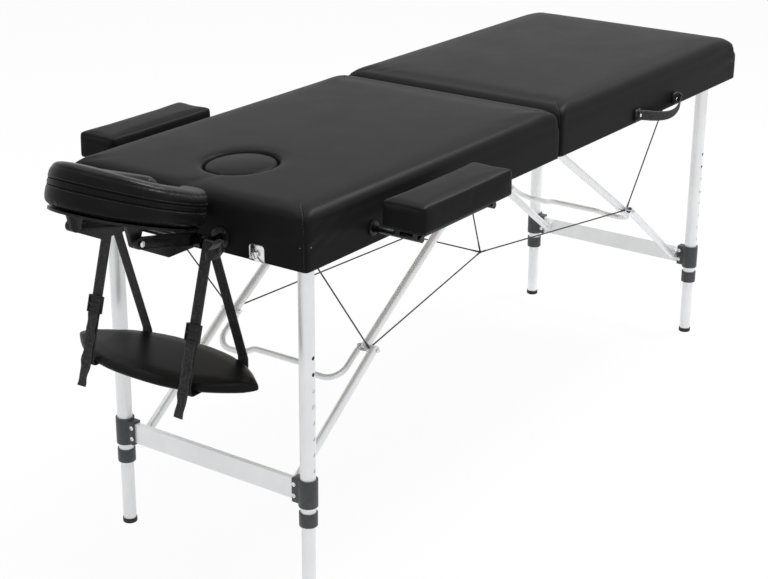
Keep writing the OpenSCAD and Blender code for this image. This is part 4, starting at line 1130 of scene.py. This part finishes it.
CRADLE_X, CRADLE_Z, CRADLE_L, CRADLE_W, CRADLE_H = 1076, 804, 327, 252, 76
CRADLE_RISE = 12  # how much higher the cushion is at its head end
RING_R, RING_OPEN, RING_POWER, SLOPE = 35, 32, 2.3, math.radians(18)
RING_SLIM, RING_DIP = 1.6, 7
CROWN_SEAM, UPPER_SEAM, LOWER_SEAM, BASE_SEAM = 0.86, 0.6, 0.46, 0.07  # shares of its height
GROOVES = ((CROWN_SEAM, 0.7), (UPPER_SEAM, 1.3), (LOWER_SEAM, 1.3), (BASE_SEAM, 0.6))
END_GROOVE, GROOVE_WIDTH, SEAM_R, SEAM_TO_STITCH = 1.3, 2.6, 0.9, 3.4
END_LOW, END_TRIM = 4, 12
NEAR_SEAM, FAR_SEAM = 58, 302  # degrees round the ring, where the end panels are sewn on


def ring_middle(a):
    c, s = math.cos(math.radians(a)), math.sin(math.radians(a))
    x = -(CRADLE_L / 2 - RING_R) * math.copysign(abs(c) ** (2 / RING_POWER), c)
    y = (CRADLE_W / 2 - RING_R) * math.copysign(abs(s) ** (2 / RING_POWER), s)
    return Vector((x, y, 0))


def ring_out(a):
    d = ring_middle(a + 1) - ring_middle(a - 1)
    return Vector((-d.y, d.x, 0)).normalized()


def ring_height(a):
    a = math.radians(a)
    return CRADLE_H + CRADLE_RISE * (1 - math.cos(a)) / 2 - RING_DIP * math.sin(a) ** 2


def on_slope(p):
    """A point over the middle of the cradle's slope, from its own plane to the frame."""
    x = p.x * math.cos(SLOPE) - p.z * math.sin(SLOPE)
    z = p.x * math.sin(SLOPE) + p.z * math.cos(SLOPE)
    return at(HEAD, CRADLE_X + x, p.y, CRADLE_Z + z)


def cradle_slice(a, share, steps=28):
    out, high = ring_out(a), ring_height(a)
    points = []
    for i in range(steps):
        t = math.tau * (i + 0.5) / steps
        c, s = math.cos(t), math.sin(t)
        w = math.copysign(abs(c) ** 0.5, c)
        h = math.copysign(abs(s) ** (1 / 3 if s < 0 else 2 / 3), s)
        across = (RING_R - RING_SLIM) * share * w
        rise = high / 2 + (high / 2 - RING_SLIM) * h * share
        points.append(on_slope(ring_middle(a) + out * across + Vector((0, 0, rise))))
    return points


def cradle_cushion():
    arc, steps = 360 - 2 * RING_OPEN, 60
    caps = ((2, 0.45), (1, 0.8))  # how far outside the opening, and how small
    rows = [cradle_slice(RING_OPEN - 7 * k, share) for k, share in caps]
    rows += [cradle_slice(RING_OPEN + arc * i / steps, 1.0) for i in range(steps + 1)]
    rows += [cradle_slice(360 - RING_OPEN + 7 * k, share) for k, share in reversed(caps)]
    n = len(rows[0])
    points = [p for row in rows for p in row]
    faces = joined_rows(len(rows), n)
    faces += [tuple(range(n)), tuple(range((len(rows) - 1) * n, len(rows) * n))]
    piece = face_outward(new_piece("cradle_ring", points, faces))

    def held(points):
        x = (points[:, 0] - HINGE_X) * HEAD / MM - CRADLE_X
        z = points[:, 2] / MM - CRADLE_Z
        return z * math.cos(SLOPE) - x * math.sin(SLOPE) < 5

    swell(piece, held, voxel=0.0045, cap=0.0025)
    return finer(piece)


def cradle_wall(tree, a, height):
    """The point of the cushion's outer side at an angle and a height over its own base."""
    base = ring_middle(a) + Vector((0, 0, height))
    start, end = on_slope(base + ring_out(a) * 70), on_slope(base)
    return tree.ray_cast(start, (end - start).normalized())[0] or end


def cradle_line(tree, share, lift=0.0, steps=200):
    """A line round the outer side, at a share of its height and a lift in millimetres."""
    spots = [RING_OPEN + (360 - 2 * RING_OPEN) * i / steps for i in range(steps + 1)]
    return [cradle_wall(tree, a, ring_height(a) * share + lift) for a in spots]


def end_line(tree, a, low, trim, steps=24):
    """A line up the outer side, from a height over the base to a trim below the top."""
    rise = ring_height(a) - trim
    return [cradle_wall(tree, a, low + rise * i / steps) for i in range(steps + 1)]


BASE_GATHER, PANEL_SINK, MIDDLE_RISE = 0.08, 0.8, 34
GATHERS = (  # share of the height, reach and depth
    (CROWN_SEAM, 6.0, 0.4),
    (BASE_GATHER, 7.0, 0.5),
    (UPPER_SEAM, 5.0, 0.22),
    (LOWER_SEAM, 5.0, 0.22),
)
BULGES = (  # from one seam to the next, and depth
    (BASE_SEAM, LOWER_SEAM, 1.2),
    (LOWER_SEAM, UPPER_SEAM, 0.5),
    (UPPER_SEAM, CROWN_SEAM, 1.0),
)


def pucker_wall(piece):
    """Fine gathers of the cover along its seams, and the swell of the panels between them."""
    points = coords(piece.data)
    rise = Vector((0, 0, MIDDLE_RISE))
    middle = np.array([tuple(on_slope(ring_middle(a) + rise)) for a in range(360)])
    flat = (points[:, None, 0] - middle[None, :, 0]) ** 2
    flat = flat + (points[:, None, 1] - middle[None, :, 1]) ** 2
    a = flat.argmin(axis=1)
    x = (points[:, 0] - HINGE_X) * HEAD / MM - CRADLE_X
    z = points[:, 2] / MM - CRADLE_Z
    height = z * math.cos(SLOPE) - x * math.sin(SLOPE)
    total = np.array([ring_height(k) for k in range(360)])[a]
    out = np.array([tuple(ring_out(k)) for k in range(360)])[a]
    offset = points - middle[a]
    outward = -offset[:, 0] * out[:, 0] + offset[:, 1] * out[:, 1]
    wall = np.clip(outward / MM / RING_R * 2.2 - 1.0, 0, 1)
    wall *= np.clip(np.minimum(a - RING_OPEN - 6, 354 - RING_OPEN - a) / 10.0, 0, 1)
    rng = np.random.default_rng(7)
    phase = np.cumsum(rng.uniform(0.5, 1.5, 360)) * 1.15
    gather = np.sin(phase * math.tau / 2.4)[a] + 0.5 * np.sin(phase[a] * math.tau / 5.3 + 1)
    amount = sum(
        deep * np.exp(-(((height - share * total) / wide) ** 2)) for share, wide, deep in GATHERS
    )
    share = height / total
    bulge = np.zeros(len(share))
    for low, top, deep in BULGES:
        t = np.clip((share - low) / (top - low), 0, 1)
        bulge += deep * np.sin(math.pi * t) ** 0.8
    push = (gather * amount + bulge - PANEL_SINK) * wall * MM
    points[:, 0] -= out[:, 0] * push
    points[:, 1] += out[:, 1] * push
    set_coords(piece.data, points)


cradle = cradle_cushion()
dress(cradle, VINYL_SHINY)
pucker_wall(cradle)
cradle_tree = tree_of(cradle)
groove_lines = [(cradle_line(cradle_tree, share), depth) for share, depth in GROOVES]
for a in (NEAR_SEAM, FAR_SEAM):
    groove_lines.append((end_line(cradle_tree, a, END_LOW, END_TRIM), END_GROOVE))
for line, depth in groove_lines:
    seam_groove(cradle, line, depth * MM, GROOVE_WIDTH * MM)
cradle_tree = tree_of(cradle)
rows = [
    cradle_line(cradle_tree, share, lift)
    for share, lift in ((UPPER_SEAM, SEAM_TO_STITCH), (LOWER_SEAM, -SEAM_TO_STITCH))
]
for a in (NEAR_SEAM - 3, FAR_SEAM + 3):
    rows.append(end_line(cradle_tree, a, END_LOW + 2, END_TRIM + 4))
cradle_thread = stitched("cradle_stitches", rows, spacing=5.0, length=3.4)
# Dark tubes half sunk in the two middle grooves: painted seam shade.
for k, share in enumerate((UPPER_SEAM, LOWER_SEAM)):
    line = cradle_line(cradle_tree, share)
    fold = tube(f"cradle_painted_seam_shade_{k}", line, [SEAM_R * MM] * len(line), SEAM_SHADE, 8)
    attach(fold, "cradle_platform")
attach(cradle_thread, "cradle_platform")
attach(cradle, "cradle_platform")
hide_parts("cradle_cushion")


# Sling shelf

SHELF_X, SHELF_Z, SHELF_L, SHELF_W, SHELF_T = 982, 487, 192, 470, 24
SHELF_POWER = 2.6


def shelf_half(y):
    return SHELF_L / 2 * (1 - abs(2 * y / SHELF_W) ** SHELF_POWER)


def shelf_outline(share, steps=48):
    line = []
    for s in (1, -1):
        for i in range(steps):
            y = -s * SHELF_W / 2 * math.cos(math.pi * i / steps) * share
            x = max(shelf_half(y) - SHELF_L / 2 * (1 - share), 2)
            line.append((SHELF_X + s * x, y))
    return line


SHELF_SHARES = (  # of the outline, and of the thickness
    (0.84, 0.03),
    (0.94, 0.12),
    (0.985, 0.3),
    (0.985, 0.5),
    (0.96, 0.7),
    (0.88, 0.87),
    (0.62, 0.96),
    (0.3, 0.97),
)


def sling_shelf():
    rings = [
        (shelf_outline(share), SHELF_Z + SHELF_T * (height - 0.5))
        for share, height in SHELF_SHARES
    ]
    piece = loft("shelf_cushion", HEAD, rings)
    low = (SHELF_Z - SHELF_T / 2 + 3) * MM
    swell(piece, lambda p: p[:, 2] < low, voxel=0.0045, cap=0.0016)
    return finer(piece)


shelf = sling_shelf()
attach(shelf, "cradle")
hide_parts("sling_shelf")
dress(shelf, VINYL_SHINY)


# Straps of the sling

SWING_X, SWING_Z, STRAP_Y, STRAP_W, STRAP_T = 985, 752, 124.5, 25, 2
ROD_WRAP, STRAP_BEND = 4.3, 6
STRAP_EDGE = shelf_half(STRAP_Y - STRAP_W / 2) + 0.3
SHELF_LOW = SHELF_Z - SHELF_T / 2 - 0.3 - STRAP_T / 2


def strap_path():
    """One band: round the clamping rod, down both sides and under the shelf."""
    r = ROD_WRAP + STRAP_T / 2
    front_x, rear_x = SHELF_X + STRAP_EDGE + 1, SHELF_X - STRAP_EDGE - 1
    low, steps = SHELF_Z + SHELF_T / 3, 6
    loop = straight((rear_x, 0, low), (SWING_X - r, 0, SWING_Z), 9)[:-1]
    for i in range(2 * steps + 1):
        a = math.pi * (1 - i / (2 * steps))
        loop.append(Vector((SWING_X + r * math.cos(a), 0, SWING_Z + r * math.sin(a))))
    loop += straight((SWING_X + r, 0, SWING_Z), (front_x, 0, low), 9)[1:]
    bends = list(quarter(steps))
    for c, s in bends[1:]:
        x, z = front_x - STRAP_BEND * (1 - c), SHELF_LOW + STRAP_BEND * (1 - s)
        loop.append(Vector((x, 0, z)))
    front, rear = (front_x - STRAP_BEND, 0, SHELF_LOW), (rear_x + STRAP_BEND, 0, SHELF_LOW)
    loop += straight(front, rear, 10)[1:]
    for c, s in bends[1:-1]:
        x, z = rear_x + STRAP_BEND * (1 - s), SHELF_LOW + STRAP_BEND * (1 - c)
        loop.append(Vector((x, 0, z)))
    return loop


FRONT_TOP = Vector((SWING_X + ROD_WRAP + STRAP_T, 0, SWING_Z))
FRONT_LOW = Vector((SHELF_X + STRAP_EDGE + STRAP_T, 0, SHELF_Z + SHELF_T / 3))
FRONT_WAY = (FRONT_LOW - FRONT_TOP).normalized()
FRONT_OUT = Vector((-FRONT_WAY.z, 0, FRONT_WAY.x))
BUCKLE_DROP, TAIL_DROP, TAIL_FREE = 150, 60, 0.28
RIPPLE, TWIST, CURL = 1.1, 0.10, 0.22
STITCH_DROPS = (14, 20, 118, 124)
BAND = band_section((STRAP_W + 1.5) * MM, (STRAP_T - 0.4) * MM)
TAIL = band_section((STRAP_W + 0.5) * MM, (STRAP_T - 0.4) * MM)


def tail_path(y, across):
    """The free end of a strap: where it runs, rippled, and how its width twists."""
    start = FRONT_TOP + FRONT_WAY * BUCKLE_DROP + FRONT_OUT * 3
    end = FRONT_LOW + FRONT_WAY * TAIL_DROP + FRONT_OUT * 3
    spots = straight(start, end, 6)
    tail, widths = [], []
    for i, p in enumerate(spots):
        t = i / (len(spots) - 1)
        ripple = RIPPLE * math.sin(i * 1.25 + across) * min(t * 4, 1)
        free = max(t - (1 - TAIL_FREE), 0) / TAIL_FREE
        tail.append(Vector((p.x + 5 * free**2, y - 1.2 * free, p.z)) + FRONT_OUT * (0.6 + ripple))
        twist = TWIST * math.sin(i * 0.8) * min(t * 3, 1) + CURL * free
        widths.append((twist, 1.0, 0.0))
    return [at(HEAD, *p) for p in tail], widths


for name, across in (("near", NEAR), ("far", FAR)):
    y = across * STRAP_Y
    path = [at(HEAD, p.x, y, p.z) for p in strap_path()]
    piece = swept(name + "_sling_band", path, (0, 1, 0), BAND, WEBBING, closed=True)
    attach(piece, "cradle")
    path, widths = tail_path(y, across)
    piece = swept(name + "_sling_tail", path, widths, TAIL, WEBBING)
    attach(piece, "cradle")
    if across == NEAR:
        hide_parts("sling_straps")
    rows = []
    for drop in STITCH_DROPS:
        p = FRONT_TOP + FRONT_WAY * drop + FRONT_OUT * 1.1
        rows.append([at(HEAD, p.x, y + STRAP_W * k, p.z) for k in (-0.42, 0, 0.42)])
    thread = stitched(name + "_sling_stitches", rows, spacing=3.2, length=2.4, thickness=0.8)
    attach(thread, "cradle")


# Carry handle

HANDLE_X, HANDLE_L, HANDLE_H, HANDLE_FOLD = 352, 223, 34, 22
HANDLE_Z = UNDER_Z + HANDLE_H / 2 + 2
HANDLE_W, HANDLE_T, HANDLE_RIB, HANDLE_ROW = 25, 1.5, 0.35, 4.2


def handle_path():
    """The band leaves its inner end, droops from the side and curls up to its outer end."""
    x0, x1, y = HANDLE_X + 8, HANDLE_X + HANDLE_L - 8, -SIDE_Y - 6.0
    way = (
        (x0, y, HANDLE_Z + 1),
        (x0 + 24, y - 5, HANDLE_Z - 3),
        (x0 + 66, y - 12, HANDLE_Z - 13),
        (x0 + 118, y - 17, HANDLE_Z - 22),
        (x1 - 44, y - 17, HANDLE_Z - 23),
        (x1 - 10, y - 13, HANDLE_Z - 13),
        (x1 + 3, y - 6, HANDLE_Z + 1),
        (x1 - 2, y, HANDLE_Z + 4),
    )
    return resampled([at(FOOT, *p) for p in way], 0.004)


def carry_handle():
    path = handle_path()
    lean = [(0, -0.25 * math.sin(math.pi * i / len(path)), 1) for i in range(len(path))]
    section = []
    for i in range(25):
        t = i / 24
        rib = HANDLE_RIB * abs(math.sin(math.pi * t * 3)) ** 0.5
        section.append((HANDLE_W * (t - 0.5), (HANDLE_T + rib) * (1 - (2 * t - 1) ** 8)))
    section += [(a, -o) for a, o in reversed(section[1:-1])]
    section = [(a * MM, o * MM) for a, o in section]
    piece = swept("handle_band", path, lean, section, WEBBING)
    tree = tree_of(piece)
    rows = []
    for shift in (-HANDLE_ROW, HANDLE_ROW):
        row = []
        for p in path[2:-2]:
            start = p + Vector((0, -0.02, shift * MM))
            hit = tree.ray_cast(start, Vector((0, 1, 0)))[0]
            if hit:
                row.append(hit)
        rows.append(row)
    thread = stitched("handle_stitches", rows, spacing=4.4, length=3.2)
    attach(thread, "foot_panel")
    return piece


handle = carry_handle()
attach(handle, "foot_panel")
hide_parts("carry_handle")


def handle_end(name, x):
    """A folded end of the handle's webbing, sewn flat under its rivet."""
    points = [at(FOOT, x + HANDLE_FOLD * i / 6, -SIDE_Y - 3, HANDLE_Z) for i in range(7)]
    fold = band_section((HANDLE_H - 4) * MM, 5.6 * MM)
    piece = swept(name, points, (0, 0, 1), fold, WEBBING)
    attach(piece, "foot_panel")


handle_end("handle_inner_end", HANDLE_X)
handle_end("handle_outer_end", HANDLE_X + HANDLE_L - HANDLE_FOLD)


# Steel cables of the knee braces

KNEE = (567.854, 416.309)
CABLE_R, CABLE_Y = 1.7, 187.25
ANCHOR, RING, ROOT = (827, 187.25, 758), (0, 100, 446), (13, 45, 699)
SLEEVE_L, SLEEVE_R, TAPER_SHARE = 26, 2.6, 0.42
CRIMP_FROM, CRIMP_TO, CRIMP_SHARE = 4, 9, 0.82
SLEEVE_SPOTS = (0, 1, 3, 5, 8, 14, 20, 23, 25, 26.5)  # along a sleeve, from the cable's end
SLEEVE_END, CABLE_STEP = 27, 20
KNOT_R, KNOT_FLAT = 3.6, 0.72


def cable(name, p, q, bodies, sleeves=(True, True)):
    """A taut cable with crimped, tapered sleeves; with one body it follows that body, with two it
    stays where it is built.
    """
    span, path, radii = (q - p).length, [], []
    bare = span - 2 * SLEEVE_END * MM
    steps = max(int(bare / (CABLE_STEP * MM)), 1)
    marks = [m * MM for m in SLEEVE_SPOTS]
    marks += [SLEEVE_END * MM + bare * i / steps for i in range(1, steps)]
    marks += [span - m * MM for m in reversed(SLEEVE_SPOTS)]
    for mark in marks:
        path.append(p.lerp(q, mark / span))
        near, far = mark / MM, (span - mark) / MM
        r = CABLE_R
        for reach, has in ((near, sleeves[0]), (far, sleeves[1])):
            if has and reach < SLEEVE_L:
                t = reach / SLEEVE_L
                r = max(r, SLEEVE_R * (1 - TAPER_SHARE * t**2))
                if CRIMP_FROM < reach < CRIMP_TO:
                    r = SLEEVE_R * CRIMP_SHARE
        radii.append(r * MM)
    piece = tube(name, path, radii, CABLE)
    if len(bodies) == 1:
        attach(piece, bodies[0])
    else:
        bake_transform(piece)
        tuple(p)
        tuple(q)
    return piece


def cable_knot(name, centre, r, body):
    """A pressed collar where cables meet."""
    form = bmesh.new()
    bmesh.ops.create_icosphere(form, subdivisions=3, radius=r * MM)
    for v in form.verts:
        v.co.z *= KNOT_FLAT
        v.co += centre
    mesh = bpy.data.meshes.new(name)
    form.to_mesh(mesh)
    form.free()
    mesh.materials.append(BLACK_PLASTIC)
    piece = smoothed(new_object(name, mesh))
    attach(piece, body)


first = None
for side, end in ((HEAD, "head"), (FOOT, "foot")):
    for across, where in ((NEAR, "near"), (FAR, "far")):
        panel, brace = end + "_panel", end + "_upper_brace"
        knee = at(side, KNEE[0], across * CABLE_Y, KNEE[1])
        anchor = at(side, ANCHOR[0], across * ANCHOR[1], ANCHOR[2])
        ring = at(side, RING[0], across * RING[1], RING[2])
        made = cable(f"{end}_{where}_anchor_cable", knee, anchor, (brace, panel))
        first = first or made
        if side == HEAD:
            cable(f"{end}_{where}_net_cable", knee, ring, (brace, panel))
        else:
            middle = (knee + ring) / 2
            halves = ((knee, middle, (brace, panel)), (middle, ring, (panel, "head_panel")))
            for k, (p, q, two) in enumerate(halves):
                ends = (k == 0, k == 1)
                cable(f"{end}_{where}_net_cable_{k}", p, q, two, ends)
near_ring, far_ring = at(HEAD, 0, -RING[1], RING[2]), at(HEAD, 0, RING[1], RING[2])
cable("net_cross_cable", near_ring, far_ring, ("head_panel",))
for across, where in ((NEAR, "near"), (FAR, "far")):
    root = at(HEAD, ROOT[0], across * ROOT[1], ROOT[2])
    ring = at(HEAD, 0, across * RING[1], RING[2])
    cable(where + "_net_root", ring, root, ("head_panel",))
    cable_knot(where + "_net_knot", ring, KNOT_R, "head_panel")
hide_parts("brace_cables")


# Screws, rivets and rounded fittings

ROUNDED = {
    "head_leg_clamps": 2.2,
    "foot_leg_clamps": 2.2,
    "panel_sockets": 0.9,
    "cradle_arms": 0.7,
    "cradle_platform": 1.0,
    "cradle_lever": 2.0,
    "strap_buckles": 0.7,
    "latch_studs": 0.45,
    "latch_bases": 0.45,
    "near_latch_hook": 0.5,
    "far_latch_hook": 0.5,
    "head_knee_bolts": 0.6,
    "foot_knee_bolts": 0.6,
    "head_knee_nuts": 0.6,
    "foot_knee_nuts": 0.6,
    "handle_rivets": 0.6,
}
for name, width in ROUNDED.items():
    softened(name, width)

LEG_X, CLAMP_Y, BAR_Z = 853, 217, 220
CLAMP_FACE, CLAMP_LIFTS = 11.2, (-12, 13)
LEAF_X, LEAF_Y, LEAF_STEP, LEAF_UNDER = 15.5, 130, 34, 2.1
SOCKET_END, SOCKET_Y, SOCKET_Z, SOCKET_R = 4.1, 100, 742, 18.5
TILT_X, TILT_Y, TILT_Z = 1130, 93.4, 785
for side, end in ((HEAD, "head"), (FOOT, "foot")):
    faces = [
        (side, LEG_X + way * CLAMP_FACE, across * CLAMP_Y, BAR_Z + lift, (way, 0, 0))
        for across in (NEAR, FAR)
        for way in (-1, 1)
        for lift in CLAMP_LIFTS
    ]
    screws(end + "_clamp_screws", end + "_leg_frame", faces, radius=3.6, height=2.2)
    leaves = [
        (side, LEAF_X, across * LEAF_Y + k * LEAF_STEP, UNDER_Z - LEAF_UNDER, (0, 0, -1))
        for across in (NEAR, FAR)
        for k in (-1, 0, 1)
    ]
    screws(end + "_hinge_screws", end + "_panel", leaves, 3.2, 1.4, metal=ZINC, washer=1.02)
ends = []
for across in (NEAR, FAR):
    for a in (math.radians(45 + 90 * k) for k in range(4)):
        y, z = across * SOCKET_Y + SOCKET_R * math.cos(a), SOCKET_Z + SOCKET_R * math.sin(a)
        ends.append((HEAD, HALF_L + SOCKET_END, y, z, (1, 0, 0)))
screws("socket_screws", "head_panel", ends, 1.9, 1.0, metal=GREY_PLASTIC, washer=1.05)
tilt = [(HEAD, TILT_X, across * TILT_Y, TILT_Z, (0, across, 0)) for across in (NEAR, FAR)]
screws("tilt_bolts", "cradle_platform", tilt, radius=4.2, height=2.6)


# Floor, backdrop and light


WHITE, FLOOR_WHITE = (1, 1, 1, 1), (0.86, 0.86, 0.86, 1)
FLOOR_GLOW, WORLD_LIGHT = 0.94, 0.6


def looked_at(tree):
    """One for the rays that show the background: the camera's, mirrored and through glass."""
    path = tree.nodes.new("ShaderNodeLightPath").outputs
    total = path["Is Camera Ray"]
    for kind in ("Is Glossy Ray", "Is Transmission Ray"):
        most = add_node(tree, "ShaderNodeMath", {"operation": "MAXIMUM"})
        give(tree, most.inputs[0], total)
        give(tree, most.inputs[1], path[kind])
        total = most.outputs[0]
    return total


def mix_shaders(tree, share, first, second, output):
    mix = add_node(tree, "ShaderNodeMixShader", Fac=share)
    give(tree, mix.inputs[1], first.outputs[0])
    give(tree, mix.inputs[2], second.outputs[0])
    add_node(tree, output, Surface=mix.outputs[0])


def white_floor():
    bpy.ops.mesh.primitive_plane_add(size=60, location=(0, 0, 0))
    floor = bpy.context.object
    floor.name = "floor"
    paint = bpy.data.materials.new("floor_white")
    paint.use_nodes = True
    tree = paint.node_tree
    tree.nodes.clear()
    matt = add_node(tree, "ShaderNodeBsdfDiffuse", Color=FLOOR_WHITE)
    glow = add_node(tree, "ShaderNodeEmission", Color=WHITE)
    share = add_node(tree, "ShaderNodeMath", {"operation": "MULTIPLY"})
    give(tree, share.inputs[0], looked_at(tree))
    give(tree, share.inputs[1], FLOOR_GLOW)
    mix_shaders(tree, share.outputs[0], matt, glow, "ShaderNodeOutputMaterial")
    dress(floor, paint)


def white_world():
    world = bpy.data.worlds.new("studio")
    bpy.context.scene.world = world
    world.use_nodes = True
    tree = world.node_tree
    tree.nodes.clear()
    lit, seen = (
        add_node(tree, "ShaderNodeBackground", Color=WHITE, Strength=strength)
        for strength in (WORLD_LIGHT, 1.0)
    )
    mix_shaders(tree, looked_at(tree), lit, seen, "ShaderNodeOutputWorld")


def lamp(name, place, target, size, power):
    light = bpy.data.lights.new(name, "AREA")
    light.shape, light.size, light.size_y = "RECTANGLE", size[0], size[1]
    light.energy = power
    way = Vector(target) - Vector(place)
    turn = way.to_track_quat("-Z", "Y").to_matrix().to_4x4()
    new_object(name, light).matrix_world = Matrix.Translation(place) @ turn


white_floor()
white_world()
lamp("key_light", (-0.4, 0.6, 3.6), (0, 0, 0.6), (3.4, 2.6), power=60)
lamp("side_light", (-3.4, -3.0, 1.6), (0, 0, 0.6), (1.8, 1.8), power=7)
lamp("edge_light", (1.9, -0.7, 3.3), (-0.4, -0.2, 0.8), (1.2, 1.2), power=110)
bpy.context.scene.view_settings.view_transform = "Standard"
